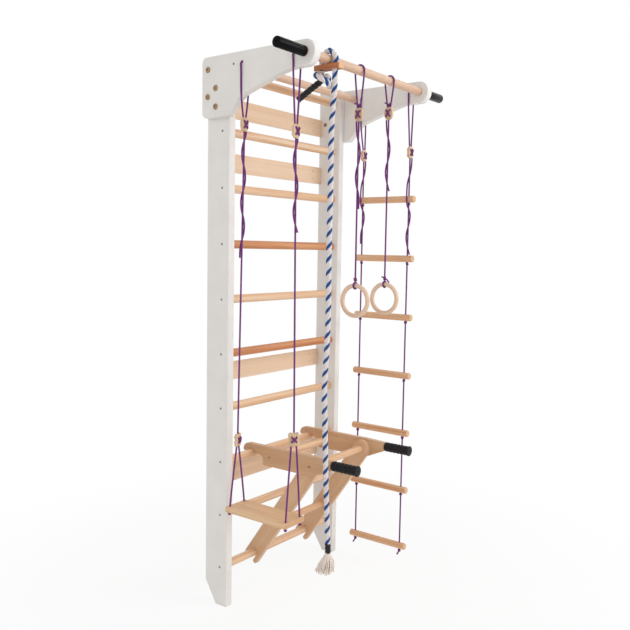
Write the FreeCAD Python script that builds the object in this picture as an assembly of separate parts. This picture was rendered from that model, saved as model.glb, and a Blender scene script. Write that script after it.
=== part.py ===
import FreeCAD, Part
import math
import os

from FreeCAD import Vector

# Wall bars with a hook-on dip station, a pull-up bar, a climbing rope, gym rings, a swing and a rope ladder.
# Millimetres. X runs along the wall to the right, +Y points into the wall and +Z up.
# The origin is on the floor, midway along the pull-up bar and between the wall and the foremost point.

# Ladder frame
RUNG_COUNT = 10
RUNG_PITCH = 220.0
LOWEST_RUNG = 160.0
HEAD_ROOM = 60.0
RUNG_DIAMETER = 34.0
RUNG_FROM_WALL = 79.0
RUNG_HOUSING = 12.0
CLEAR_WIDTH = 702.0
UPRIGHT_THICKNESS = 35.0
UPRIGHT_DEPTH = 116.0
UPRIGHT_ROUNDING = 4.0
SKIRTING_HEIGHT = 90.0
SKIRTING_DEPTH = 58.0
RUNGS_BELOW_SPLICE = 5

# Dowels that join the two halves of an upright
SPLICE_DOWEL_DIAMETER = 12.0
SPLICE_DOWEL_LENGTH = 80.0
SPLICE_DOWEL_INSET = 30.0
DOWEL_END_GAP = 1.0

# Plywood slats that take the wall screws
SLAT_WIDTH = 76.0
SLAT_THICKNESS = 12.0
SLAT_HOUSING = 8.0
SLAT_DROPS = ((1, 108.0), (2, 108.0), (6, 89.0), (8, 87.0))
SLAT_HOLE_DIAMETER = 6.0
SLAT_HOLE_INSET = 68.0
SLAT_HOLE_SPACING = 32.0

# Bracket plates, seen from the side, as distances from the wall and down from the top
PLATE_THICKNESS = 35.0
PLATE_REACH = 553.0
PLATE_BACK_HEIGHT = 232.0
PLATE_NOSE_HEIGHT = 92.0
PLATE_FOOT_DEPTH = 140.0
PLATE_KNEE_DEPTH = 205.0
PLATE_KNEE_DROP = 162.0
PLATE_BROW_LENGTH = 123.0
PLATE_BROW_DEPTH = PLATE_REACH - PLATE_BROW_LENGTH
PLATE_BACK_RADIUS = 21.0
PLATE_NOSE_RADIUS = 45.0
PLATE_FOOT_RADIUS = 10.0
PLATE_KNEE_RADIUS = 110.0
PLATE_BROW_RADIUS = 300.0
PLATE_ROUNDING = 4.0
PLATE_BOLTS = ((33.0, 49.0), (74.0, 122.0), (32.0, 152.0), (74.0, 192.0))
BOLT_HEAD_DIAMETER = 20.0
BOLT_HEAD_HEIGHT = 2.5
BOLT_SHANK_DIAMETER = 8.0
BOLT_GRIP = 20.0
BOLT_SOCKET_DIAMETER = 7.0
BOLT_SOCKET_DEPTH = 1.5

# Bars between the plates
BAR_DIAMETER = 34.0
BAR_FROM_WALL = PLATE_REACH - PLATE_NOSE_RADIUS
BAR_DROP = 44.0
BAR_OVERHANG = 152.0
BAR_GRIP_WALL = 2.0
BAR_GRIP_END = 4.0
BAR_GRIP_GAP = 6.0
BRACE_DIAMETER = 32.0
BRACE_FROM_WALL = 168.0
BRACE_DROP = 43.0

# Screws
SCREW_HEAD_DIAMETER = 10.0
SCREW_HEAD_HEIGHT = 1.6
SCREW_SHANK_DIAMETER = 5.0
SCREW_LENGTH = 60.0

# Climbing rope
ROPE_DIAMETER = 22.0
ROPE_X = -277.0
ROPE_SLEEVE_WALL = 0.8
END_SLEEVE_LENGTH = 40.0
TAIL_SLEEVE_LENGTH = 80.0
TASSEL_LENGTH = 84.0
TASSEL_DIAMETER = 72.0
BLOCK_LENGTH = 114.0
BLOCK_WIDTH = 34.0
BLOCK_HEIGHT = 19.0
BLOCK_CORNER = 3.0
BLOCK_HOLE_SPACING = 56.0
BLOCK_HOLE_DIAMETER = 27.0
BLOCK_GAP = 0.5
ROPE_OVER_BAR = 28.95
ROPE_OVER_BAR_RADIUS = 28.4
ROPE_MOUTH_RADIUS = 26.0
ROPE_MOUTH_DROP = 19.85

# Cords, their wooden adjusters and knots
CORD_DIAMETER = 7.0
CORD_HOLE_DIAMETER = 10.0
CORD_HOLE_ROUNDING = 2.0
CORD_HOLE_DROP = 40.0
REAR_HOLE_FROM_WALL = 210.0
FRONT_HOLE_NOSE_INSET = 93.0
FRONT_HOLE_FROM_WALL = PLATE_REACH - FRONT_HOLE_NOSE_INSET
ADJUSTER_WIDTH = 38.0
ADJUSTER_HEIGHT = 52.0
ADJUSTER_THICKNESS = 12.0
ADJUSTER_CORNER = 12.0
ADJUSTER_HOLE_DIAMETER = 7.0
ADJUSTER_HOLE_HALF = 8.0
ADJUSTER_HOLE_RISE = 11.0
STRAND_HALF_GAP = 7.0
TAIL_RADIUS = 10.5
TAIL_PITCH = 186.0
TAIL_STEPS = 4
TAIL_LEAD_SHARE = 0.25
KNOT_DIAMETER = 17.0
KNOT_HEIGHT = 14.0
KNOT_WAIST = 10.0
EDGE_BEND_RADIUS = 40.0
HOLE_BEND_RADIUS = 6.0

# Gym rings
RING_DIAMETER = 138.0
RING_SECTION = 18.0
RING_CENTRE_HEIGHT = 1265.0
RINGS = (("left", -74.0, 1990.0, 1600.0), ("right", 145.0, 2027.0, 1668.0))

# Swing
SEAT_LENGTH = 306.0
SEAT_WIDTH = 120.0
SEAT_THICKNESS = 20.0
SEAT_TOP = 456.0
SEAT_BACK_SHIFT = 4.0
SEAT_FROM_WALL = (REAR_HOLE_FROM_WALL + FRONT_HOLE_FROM_WALL) / 2 - SEAT_BACK_SHIFT
SEAT_CORNER = 8.0
SEAT_ROUNDING = 2.5
SEAT_HOLE_DIAMETER = 8.0
SEAT_HOLE_HALF_WIDTH = 43.0
SEAT_HOLE_INSET = 12.0
SEAT_HOLE_HALF_LENGTH = SEAT_LENGTH / 2 - SEAT_HOLE_INSET
SEAT_BEND_RISE = 8.0
SEAT_BEND_RADIUS = 25.0
TOGGLE_WIDTH = 42.0
TOGGLE_HEIGHT = 50.0
TOGGLE_THICKNESS = 12.0
TOGGLE_CORNER = 9.0
TOGGLE_HOLE_HALF = 10.0
SWING_CORDS = (
    ("rear", REAR_HOLE_FROM_WALL, 1931.0, 1412.0, 714.0, 20.0),
    ("front", FRONT_HOLE_FROM_WALL, 1887.0, 1520.0, 762.0, -38.0),
)

# Rope ladder
LADDER_RUNG_COUNT = 7
LADDER_PITCH = 264.5
LADDER_LOWEST = 108.0
LADDER_RUNG_LENGTH = 300.0
LADDER_RUNG_DIAMETER = 30.0
LADDER_FRONT_SHIFT = 7.0
LADDER_RUNG_FROM_WALL = (REAR_HOLE_FROM_WALL + FRONT_HOLE_FROM_WALL) / 2 + LADDER_FRONT_SHIFT
LADDER_RUNG_ROUNDING = 3.0
LADDER_HOLE_DIAMETER = 8.0
LADDER_ADJUSTER_HEIGHT = 1900.0
LADDER_REAR_INSET = 26.0
LADDER_FRONT_INSET = 29.0
LADDER_REAR_CORD = LADDER_RUNG_FROM_WALL - LADDER_RUNG_LENGTH / 2 + LADDER_REAR_INSET
LADDER_FRONT_CORD = LADDER_RUNG_FROM_WALL + LADDER_RUNG_LENGTH / 2 - LADDER_FRONT_INSET
LADDER_TAIL_PASS_GAP = 1.5
LADDER_TAIL_PASS_RISE = 25.0
LADDER_TAIL_TURN = 270.0
LADDER_CORD_END = 62.0
LADDER_CORDS = (
    ("rear", REAR_HOLE_FROM_WALL, LADDER_REAR_CORD, 1495.0),
    ("front", FRONT_HOLE_FROM_WALL, LADDER_FRONT_CORD, 1442.0),
)

# Dip station
DIP_OFFSET = 11.0
DIP_HALF_WIDTH = 206.0
DIP_BOARD = 20.0
DIP_RUNG = 8
DIP_FOOT_RUNG = 10
ARM_TOP_RISE = 40.0
ARM_HEIGHT = 82.0
ARM_HOOK_BACK = 50.0
ARM_HOOK_TIP_RISE = 2.0
ARM_HOOK_RADIUS = 30.0
ARM_TIP_RADIUS = 8.0
ARM_HEEL = 62.0
ARM_HEEL_DROP = 5.0
ARM_HEEL_RADIUS = 20.0
ARM_CORNER = 6.0
ARM_TAPER_START = 400.0
ARM_FRONT = 495.0
ARM_NECK_HEIGHT = 36.0
ARM_NECK_DROP = 4.0
HOOK_REAR_ANGLE = 35.0
HOOK_FRONT_ANGLE = 150.0
TONGUE_LENGTH = 104.0
TONGUE_HEIGHT = 26.0
LEG_TOP_FROM_WALL = 386.0
LEG_TOP_DROP = 4.0
LEG_WIDTH = 76.0
LEG_PRONG = 39.0
LEG_PRONG_RADIUS = 9.0
DIP_DOWEL_DIAMETER = 30.0
DIP_REAR_DOWEL_AHEAD = 96.0
DIP_REAR_DOWEL_DROP = 5.0
DIP_LOW_DOWEL_SHARE = 0.333
DIP_GRIP_LENGTH = 121.0
DIP_GRIP_DIAMETER = 38.0
DIP_GRIP_FLANGE = 43.0
DIP_GRIP_FLANGE_LENGTH = 7.0
DIP_GRIP_RIB_COUNT = 5
DIP_GRIP_RIB_HEIGHT = 1.5
DIP_GRIP_DROP = 22.0
DIP_SCREW_LENGTH = 60.0

# Clearances
WOOD_FIT = 0.05
RUNNING_GAP = 0.3
CORD_GAP = 0.3
GRIP_FIT = 0.1
JOIN_TOLERANCE = 0.01
OVERRUN = 1.0

# Places worked out from the sizes above
HEIGHT = LOWEST_RUNG + (RUNG_COUNT - 1) * RUNG_PITCH + HEAD_ROOM
HALF_CLEAR = CLEAR_WIDTH / 2
PLATE_INNER = HALF_CLEAR + UPRIGHT_THICKNESS
PLATE_OUTER = PLATE_INNER + PLATE_THICKNESS
PLATE_MIDDLE = PLATE_INNER + PLATE_THICKNESS / 2
DIP_REACH = ARM_FRONT + DIP_GRIP_LENGTH
FRONT_REACH = max(PLATE_REACH, DIP_REACH)
WALL_Y = FRONT_REACH / 2
SPLICE_HEIGHT = LOWEST_RUNG + (RUNGS_BELOW_SPLICE - 0.5) * RUNG_PITCH
BAR_HEIGHT = HEIGHT - BAR_DROP
X_AXIS = Vector(1, 0, 0)
Y_AXIS = Vector(0, 1, 0)
Z_AXIS = Vector(0, 0, 1)


def at(x, from_wall, z):
    """The point at x, that far in front of the wall and that high."""
    return Vector(x, WALL_Y - from_wall, z)


def rung_height(number):
    """Height of a rung's axis. Rungs are numbered from the top."""
    return LOWEST_RUNG + (RUNG_COUNT - number) * RUNG_PITCH


def save(node, *solids):
    """Writes the solids of one node to its STEP file."""
    shape = solids[0] if len(solids) == 1 else Part.makeCompound(list(solids))
    shape.exportStep("parts/" + node + ".step")
    print(node, len(shape.Solids), "solids", round(shape.Volume / 1000, 1), "cm3")


def rod(diameter, start, end):
    """A round bar from start to end."""
    return Part.makeCylinder(diameter / 2, (end - start).Length, start, end - start)


def corner_arc(before, corner, after, radius):
    """The arc that rounds a corner, or None, with the points where it starts and ends."""
    back = (before - corner).normalize()
    ahead = (after - corner).normalize()
    half_turn = (math.pi - back.getAngle(ahead)) / 2
    if radius <= 0 or half_turn < 1e-6:
        return None, corner, corner
    reach = radius * math.tan(half_turn)
    start = corner + back * reach
    end = corner + ahead * reach
    inward = (back + ahead).normalize()
    centre = corner + inward * (radius / math.cos(half_turn))
    middle = centre - inward * radius
    return Part.Arc(start, middle, end), start, end


def outline(corners, place):
    """A closed wire through corners (across, up, radius). place turns across and up into a point."""
    points = [place(across, up) for across, up, radius in corners]
    count = len(points)
    rounded = [
        corner_arc(points[i - 1], points[i], points[(i + 1) % count], corners[i][2])
        for i in range(count)
    ]
    edges = []
    for i, (arc, start, end) in enumerate(rounded):
        if arc is not None:
            edges.append(arc.toShape())
        following = rounded[(i + 1) % count][1]
        if (following - end).Length > JOIN_TOLERANCE:
            edges.append(Part.LineSegment(end, following).toShape())
    return Part.Wire(edges)


def board(corners, x_low, x_high, place):
    """A flat board cut to an outline in a plane square to X."""
    face = Part.Face(outline(corners, place))
    return face.extrude(X_AXIS * (x_high - x_low)).translated(X_AXIS * x_low)


def side_view(across, up):
    """A point of a side view: across is the distance from the wall."""
    return at(0, across, up)


def edges_of_outline(shape, x):
    """The edges of a board that lie in the plane at x."""
    box_of = [(edge, edge.BoundBox) for edge in shape.Edges]
    return [edge for edge, box in box_of if abs(box.XMin - x) < WOOD_FIT and abs(box.XMax - x) < WOOD_FIT]


def cord_wire(points, radii=None):
    """Straight runs through the points, joined by tangent arcs. Returns the wire and its tightest radius."""
    edges = []
    last = points[0]
    tightest = None
    for i in range(1, len(points) - 1):
        before, corner, after = points[i - 1], points[i], points[i + 1]
        shorter = min((corner - before).Length, (after - corner).Length)
        half_turn = (corner - before).getAngle(after - corner) / 2
        radius = radii[i] if radii and radii[i] else 0.45 * shorter / math.tan(half_turn)
        arc, start, end = corner_arc(before, corner, after, radius)
        if arc is None:
            continue
        edges.append(Part.LineSegment(last, start).toShape())
        edges.append(arc.toShape())
        last = end
        tightest = radius if tightest is None else min(tightest, radius)
    edges.append(Part.LineSegment(last, points[-1]).toShape())
    return Part.Wire(edges), tightest


def cord_tube(name, points, diameter, radii=None):
    """A round tube along the route. Prints its length, tightest radius and volume against the ideal one."""
    wire, tightest = cord_wire(points, radii)
    section = Part.Wire(Part.makeCircle(diameter / 2, points[0], points[1] - points[0]))
    tube = wire.makePipeShell([section], True, False)
    if tube.Volume < 0:
        tube.reverse()
    ideal = math.pi * diameter**2 / 4 * wire.Length
    shown = "straight" if tightest is None else "radius " + str(round(tightest, 1))
    volume_share = round(tube.Volume / ideal, 4)
    print("cord", name, "length", round(wire.Length, 1), shown, "volume share", volume_share)
    return tube


def screw(head_at, direction, length):
    """A wood screw: a shallow domed head on a shank. head_at is the seat of the head."""
    shank = Part.makeCylinder(SCREW_SHANK_DIAMETER / 2, length, head_at, direction)
    dome = Part.makeCone(
        SCREW_HEAD_DIAMETER / 2, SCREW_HEAD_DIAMETER / 4, SCREW_HEAD_HEIGHT, head_at, direction * -1
    )
    return dome.fuse(shank).removeSplitter()


def screw_way(head_at, direction, length):
    """The hole that a screw's shank fills."""
    start = head_at - direction * OVERRUN
    return Part.makeCylinder(SCREW_SHANK_DIAMETER / 2 + WOOD_FIT, length + 2 * OVERRUN, start, direction)


def is_under_plate(z):
    """Whether a bracket plate covers the upright's outer face at this height."""
    return z > HEIGHT - PLATE_BACK_HEIGHT


def rung_screw_seat(side, z):
    """The seat of a rung's screw head, sunk where a plate covers it, and the way the screw points."""
    inward = X_AXIS * -side
    head_at = at(side * PLATE_INNER, RUNG_FROM_WALL, z)
    if is_under_plate(z):
        head_at = head_at + inward * (SCREW_HEAD_HEIGHT + WOOD_FIT)
    return head_at, inward


def build_uprights():
    """The two uprights, each in two halves with rung housings, slat housings and dowel holes."""
    cheek = (
        (0.0, SKIRTING_HEIGHT, 0.0),
        (SKIRTING_DEPTH, 0.0, 0.0),
        (UPRIGHT_DEPTH, 0.0, 0.0),
        (UPRIGHT_DEPTH, HEIGHT, 0.0),
        (0.0, HEIGHT, 0.0),
    )
    dowels = []
    for side, name in ((-1, "left"), (1, "right")):
        inner, outer = side * HALF_CLEAR, side * PLATE_INNER
        post = board(cheek, min(inner, outer), max(inner, outer), side_view)
        front = [
            edge
            for edge in post.Edges
            if abs(edge.BoundBox.YMax - (WALL_Y - UPRIGHT_DEPTH)) < WOOD_FIT
            and edge.BoundBox.ZLength > HEIGHT / 2
        ]
        post = post.makeFillet(UPRIGHT_ROUNDING, front)
        floor_of_housing = inner + side * RUNG_HOUSING
        for number in range(1, RUNG_COUNT + 1):
            z = rung_height(number)
            mouth = at(inner - side * OVERRUN, RUNG_FROM_WALL, z)
            housing = rod(RUNG_DIAMETER + 2 * WOOD_FIT, mouth, at(floor_of_housing, RUNG_FROM_WALL, z))
            head_at, inward = rung_screw_seat(side, z)
            post = post.cut(housing).cut(screw_way(head_at, inward, UPRIGHT_THICKNESS))
            if is_under_plate(z):
                recess_mouth = head_at - inward * (SCREW_HEAD_HEIGHT + OVERRUN)
                post = post.cut(rod(SCREW_HEAD_DIAMETER + 2 * WOOD_FIT, recess_mouth, head_at))
        for rung, drop in SLAT_DROPS:
            half = SLAT_WIDTH / 2 + WOOD_FIT
            middle = rung_height(rung) - drop
            slot_x = min(inner - side * OVERRUN, inner + side * SLAT_HOUSING)
            low = at(slot_x, SLAT_THICKNESS + WOOD_FIT, middle - half)
            slot = Part.makeBox(SLAT_HOUSING + OVERRUN, SLAT_THICKNESS + WOOD_FIT + OVERRUN, 2 * half, low)
            post = post.cut(slot)
        for from_wall, drop in PLATE_BOLTS:
            way = rod(
                BOLT_SHANK_DIAMETER + 2 * WOOD_FIT,
                at(outer + side * OVERRUN, from_wall, HEIGHT - drop),
                at(outer - side * (BOLT_GRIP + OVERRUN), from_wall, HEIGHT - drop),
            )
            post = post.cut(way)
        middle_x = (inner + outer) / 2
        for from_wall in (SPLICE_DOWEL_INSET, UPRIGHT_DEPTH - SPLICE_DOWEL_INSET):
            half = SPLICE_DOWEL_LENGTH / 2
            low, high = SPLICE_HEIGHT - half, SPLICE_HEIGHT + half
            foot, head = at(middle_x, from_wall, low), at(middle_x, from_wall, high)
            dowels.append(rod(SPLICE_DOWEL_DIAMETER, foot, head))
            way = rod(
                SPLICE_DOWEL_DIAMETER + 2 * WOOD_FIT,
                at(middle_x, from_wall, low - DOWEL_END_GAP),
                at(middle_x, from_wall, high + DOWEL_END_GAP),
            )
            post = post.cut(way)
        reach = UPRIGHT_DEPTH + 2 * OVERRUN
        corner = at(min(inner, outer) - OVERRUN, UPRIGHT_DEPTH + OVERRUN, 0)
        width = UPRIGHT_THICKNESS + 2 * OVERRUN
        below = Part.makeBox(width, reach, SPLICE_HEIGHT, corner)
        above = Part.makeBox(width, reach, HEIGHT - SPLICE_HEIGHT, corner + Z_AXIS * SPLICE_HEIGHT)
        save("upright_" + name + "_lower", post.common(below))
        save("upright_" + name + "_upper", post.common(above))
    save("splice_dowels", *dowels)


def build_rungs():
    """The ten rungs and the screws that hold their ends."""
    screws = []
    for number in range(1, RUNG_COUNT + 1):
        z = rung_height(number)
        half = HALF_CLEAR + RUNG_HOUSING
        rung = rod(RUNG_DIAMETER, at(-half, RUNG_FROM_WALL, z), at(half, RUNG_FROM_WALL, z))
        for side in (-1, 1):
            head_at, inward = rung_screw_seat(side, z)
            rung = rung.cut(screw_way(head_at, inward, SCREW_LENGTH))
            screws.append(screw(head_at, inward, SCREW_LENGTH))
        save("rung_" + str(number).zfill(2), rung)
    return screws


def build_slats():
    """The four flat slats at the back, each with two screw holes near either end."""
    for index, (rung, drop) in enumerate(SLAT_DROPS, start=1):
        middle = rung_height(rung) - drop
        length = CLEAR_WIDTH + 2 * (SLAT_HOUSING - WOOD_FIT)
        corner = at(-length / 2, SLAT_THICKNESS, middle - SLAT_WIDTH / 2)
        slat = Part.makeBox(length, SLAT_THICKNESS, SLAT_WIDTH, corner)
        for side in (-1, 1):
            for row in (-1, 1):
                x = side * (HALF_CLEAR - SLAT_HOLE_INSET)
                z = middle + row * SLAT_HOLE_SPACING / 2
                hole = rod(SLAT_HOLE_DIAMETER, at(x, -OVERRUN, z), at(x, SLAT_THICKNESS + OVERRUN, z))
                slat = slat.cut(hole)
        save("wall_slat_" + str(index), slat)


def plate_corners():
    """The side view of a bracket plate, rear top first."""
    return (
        (0.0, HEIGHT, PLATE_BACK_RADIUS),
        (PLATE_REACH, HEIGHT, PLATE_NOSE_RADIUS),
        (PLATE_REACH, HEIGHT - PLATE_NOSE_HEIGHT, PLATE_NOSE_RADIUS),
        (PLATE_BROW_DEPTH, HEIGHT - PLATE_NOSE_HEIGHT, PLATE_BROW_RADIUS),
        (PLATE_KNEE_DEPTH, HEIGHT - PLATE_KNEE_DROP, PLATE_KNEE_RADIUS),
        (PLATE_FOOT_DEPTH, HEIGHT - PLATE_BACK_HEIGHT, PLATE_FOOT_RADIUS),
        (0.0, HEIGHT - PLATE_BACK_HEIGHT, PLATE_BACK_RADIUS),
    )


def bolt(seat, inward):
    """A bolt with a flat round head and a socket for its key. seat is the middle of the head's seat."""
    shank = Part.makeCylinder(BOLT_SHANK_DIAMETER / 2, PLATE_THICKNESS + BOLT_GRIP, seat, inward)
    head = Part.makeCylinder(BOLT_HEAD_DIAMETER / 2, BOLT_HEAD_HEIGHT, seat, inward * -1)
    socket_floor = seat - inward * (BOLT_HEAD_HEIGHT - BOLT_SOCKET_DEPTH)
    socket = Part.makeCylinder(BOLT_SOCKET_DIAMETER / 2, BOLT_SOCKET_DEPTH, socket_floor, inward * -1)
    return head.fuse(shank).removeSplitter().cut(socket)


def build_brackets():
    """The bracket plates with their bolts, the pull-up bar with its grips and the brace bar."""
    bolts, grips, screws = [], [], []
    brace_z = HEIGHT - BRACE_DROP
    for side, name in ((-1, "left"), (1, "right")):
        inner, outer = side * PLATE_INNER, side * PLATE_OUTER
        plate = board(plate_corners(), min(inner, outer), max(inner, outer), side_view)
        rims = edges_of_outline(plate, outer) + edges_of_outline(plate, inner)
        plate = plate.makeFillet(PLATE_ROUNDING, rims)
        past_inner, past_outer = inner - side * OVERRUN, outer + side * OVERRUN
        bore_start = at(past_inner, BAR_FROM_WALL, BAR_HEIGHT)
        bore_end = at(past_outer, BAR_FROM_WALL, BAR_HEIGHT)
        plate = plate.cut(rod(BAR_DIAMETER + 2 * WOOD_FIT, bore_start, bore_end))
        for from_wall in (REAR_HOLE_FROM_WALL, FRONT_HOLE_FROM_WALL):
            z = HEIGHT - CORD_HOLE_DROP
            hole_start, hole_end = at(past_inner, from_wall, z), at(past_outer, from_wall, z)
            plate = plate.cut(rod(CORD_HOLE_DIAMETER, hole_start, hole_end))
            for face, way in ((inner, side), (outer, -side)):
                rim = Part.makeCone(
                    CORD_HOLE_DIAMETER / 2 + CORD_HOLE_ROUNDING, CORD_HOLE_DIAMETER / 2, CORD_HOLE_ROUNDING,
                    at(face, from_wall, z), X_AXIS * way,
                )
                plate = plate.cut(rim)
        for from_wall, drop in PLATE_BOLTS:
            z = HEIGHT - drop
            hole_start, hole_end = at(past_inner, from_wall, z), at(past_outer, from_wall, z)
            plate = plate.cut(rod(BOLT_SHANK_DIAMETER + 2 * WOOD_FIT, hole_start, hole_end))
            bolts.append(bolt(at(outer, from_wall, z), X_AXIS * -side))
        head_at = at(outer, BRACE_FROM_WALL, brace_z)
        plate = plate.cut(screw_way(head_at, X_AXIS * -side, SCREW_LENGTH))
        screws.append(screw(head_at, X_AXIS * -side, SCREW_LENGTH))
        save("bracket_plate_" + name, plate)
        end = outer + side * BAR_OVERHANG
        sleeve_start = at(outer + side * BAR_GRIP_GAP, BAR_FROM_WALL, BAR_HEIGHT)
        sleeve_end = at(end + side * BAR_GRIP_END, BAR_FROM_WALL, BAR_HEIGHT)
        sleeve = rod(BAR_DIAMETER + 2 * (GRIP_FIT + BAR_GRIP_WALL), sleeve_start, sleeve_end)
        hollow_start = sleeve_start - X_AXIS * (side * OVERRUN)
        hollow_end = at(end + side * GRIP_FIT, BAR_FROM_WALL, BAR_HEIGHT)
        grips.append(sleeve.cut(rod(BAR_DIAMETER + 2 * GRIP_FIT, hollow_start, hollow_end)))
    half_bar = PLATE_OUTER + BAR_OVERHANG
    bar_start = at(-half_bar, BAR_FROM_WALL, BAR_HEIGHT)
    bar_end = at(half_bar, BAR_FROM_WALL, BAR_HEIGHT)
    save("pull_up_bar", rod(BAR_DIAMETER, bar_start, bar_end))
    save("bar_grips", *grips)
    save("bracket_bolts", *bolts)
    brace_start = at(-PLATE_INNER, BRACE_FROM_WALL, brace_z)
    brace_end = at(PLATE_INNER, BRACE_FROM_WALL, brace_z)
    brace = rod(BRACE_DIAMETER, brace_start, brace_end)
    for side in (-1, 1):
        head_at = at(side * PLATE_OUTER, BRACE_FROM_WALL, brace_z)
        brace = brace.cut(screw_way(head_at, X_AXIS * -side, SCREW_LENGTH))
    save("brace_bar", brace)
    return screws


def knot(centre):
    """A knot on a cord: a waisted barrel with the cord's bore."""
    profile = (
        (CORD_DIAMETER / 2 + CORD_GAP / 2, -KNOT_HEIGHT / 2),
        (KNOT_WAIST / 2, -KNOT_HEIGHT / 2),
        (KNOT_DIAMETER / 2, -KNOT_HEIGHT / 6),
        (KNOT_DIAMETER / 2, KNOT_HEIGHT / 6),
        (KNOT_WAIST / 2, KNOT_HEIGHT / 2),
        (CORD_DIAMETER / 2 + CORD_GAP / 2, KNOT_HEIGHT / 2),
    )
    points = [centre + Vector(radius, 0, rise) for radius, rise in profile]
    face = Part.Face(Part.makePolygon(points + points[:1]))
    return face.revolve(centre, Z_AXIS, 360)


def turned(shape, centre, axis, degrees):
    """A copy of the shape, turned about an axis through centre."""
    copy = shape.copy()
    copy.rotate(centre, axis, degrees)
    return copy


def four_cord_holes(plate, centre, half_across, half_up, thickness):
    """The plate with its four cord holes, which run along Y."""
    for across in (-1, 1):
        for up in (-1, 1):
            start = centre + Vector(across * half_across, -thickness, up * half_up)
            plate = plate.cut(Part.makeCylinder(ADJUSTER_HOLE_DIAMETER / 2, 2 * thickness, start, Y_AXIS))
    return plate


def adjuster(centre, turn):
    """A wooden cord adjuster: a flat plate with a round head, a squarer foot and four cord holes.

    It is made in the XZ plane and turned about the vertical. The round head is part of a ball about the
    point that the swing turns on, half its width below its top.
    """
    half = ADJUSTER_WIDTH / 2
    pivot = centre + Z_AXIS * (ADJUSTER_HEIGHT / 2 - half)
    slab_low = pivot - Vector(half, ADJUSTER_THICKNESS / 2, 0)
    slab = Part.makeBox(2 * half, ADJUSTER_THICKNESS, half, slab_low)
    head = Part.makeSphere(half, pivot).common(slab)
    foot_depth = ADJUSTER_HEIGHT - half
    foot = Part.makeBox(2 * half, ADJUSTER_THICKNESS, foot_depth, slab_low - Z_AXIS * foot_depth)
    middle_of_foot = pivot.z - foot_depth / 2
    across = [edge for edge in foot.Edges if edge.BoundBox.YLength > WOOD_FIT]
    lower = [edge for edge in across if edge.BoundBox.ZMax < middle_of_foot]
    foot = foot.makeFillet(ADJUSTER_CORNER, lower)
    plate = head.fuse(foot).removeSplitter()
    plate = four_cord_holes(plate, centre, ADJUSTER_HOLE_HALF, ADJUSTER_HOLE_RISE, ADJUSTER_THICKNESS)
    return turned(plate, centre, Z_AXIS, turn)


def toggle(centre, turn):
    """The wooden toggle over the seat: a rounded square with four cord holes."""
    half_width, half_height = TOGGLE_WIDTH / 2, TOGGLE_HEIGHT / 2
    low = centre - Vector(half_width, TOGGLE_THICKNESS / 2, half_height)
    plate = Part.makeBox(TOGGLE_WIDTH, TOGGLE_THICKNESS, TOGGLE_HEIGHT, low)
    corners = [edge for edge in plate.Edges if edge.BoundBox.YLength > WOOD_FIT]
    plate = plate.makeFillet(TOGGLE_CORNER, corners)
    plate = four_cord_holes(plate, centre, TOGGLE_HOLE_HALF, TOGGLE_HOLE_HALF, TOGGLE_THICKNESS)
    return turned(plate, centre, Z_AXIS, turn)


def lower_edge_drop(from_wall):
    """How far below the top a bracket plate's lower edge lies, that far in front of the wall."""
    if from_wall >= PLATE_BROW_DEPTH:
        return PLATE_NOSE_HEIGHT
    share = (from_wall - PLATE_KNEE_DEPTH) / (PLATE_BROW_DEPTH - PLATE_KNEE_DEPTH)
    return PLATE_KNEE_DROP + share * (PLATE_NOSE_HEIGHT - PLATE_KNEE_DROP)


def strand_end(adjuster_height, gap):
    """Height at which a strand of a loop ends, that far off the round head of its adjuster."""
    pivot_z = adjuster_height + (ADJUSTER_HEIGHT - ADJUSTER_WIDTH) / 2
    reach = ADJUSTER_WIDTH / 2 + gap
    return pivot_z + math.sqrt(reach**2 - (STRAND_HALF_GAP - CORD_DIAMETER / 2) ** 2)


def plate_loop(name, side, from_wall, top_from_wall, adjuster_height):
    """The cord's loop through a bracket plate, down both its faces to the head of the adjuster."""
    middle = side * PLATE_MIDDLE
    stand_off = PLATE_THICKNESS / 2 + CORD_DIAMETER / 2 + CORD_GAP
    edge_z = HEIGHT - lower_edge_drop(top_from_wall) - CORD_DIAMETER
    hole_z = HEIGHT - CORD_HOLE_DROP
    end_z = strand_end(adjuster_height, RUNNING_GAP)
    points = [
        at(middle + STRAND_HALF_GAP, from_wall, end_z),
        at(middle + stand_off, top_from_wall, edge_z),
        at(middle + stand_off, top_from_wall, hole_z),
        at(middle - stand_off, top_from_wall, hole_z),
        at(middle - stand_off, top_from_wall, edge_z),
        at(middle - STRAND_HALF_GAP, from_wall, end_z),
    ]
    radii = [0, EDGE_BEND_RADIUS, HOLE_BEND_RADIUS, HOLE_BEND_RADIUS, EDGE_BEND_RADIUS, 0]
    return cord_tube(name, points, CORD_DIAMETER, radii)


def tail_points(top, bottom, end_z, first_turn):
    """The free end of a cord, wound down round its own main cord, which runs from top to bottom."""
    step = TAIL_PITCH / TAIL_STEPS
    lead = step * TAIL_LEAD_SHARE
    count = int((top.z - lead - end_z) / step)
    places = [(0.0, 0)] + [(lead + i * step, i) for i in range(count + 1)]
    points = []
    for fall, quarter in places:
        on_axis = top + (bottom - top) * (fall / (top.z - bottom.z))
        turn = math.radians(first_turn + 360 * quarter / TAIL_STEPS)
        points.append(on_axis + Vector(math.cos(turn), math.sin(turn), 0) * TAIL_RADIUS)
    return points


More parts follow.
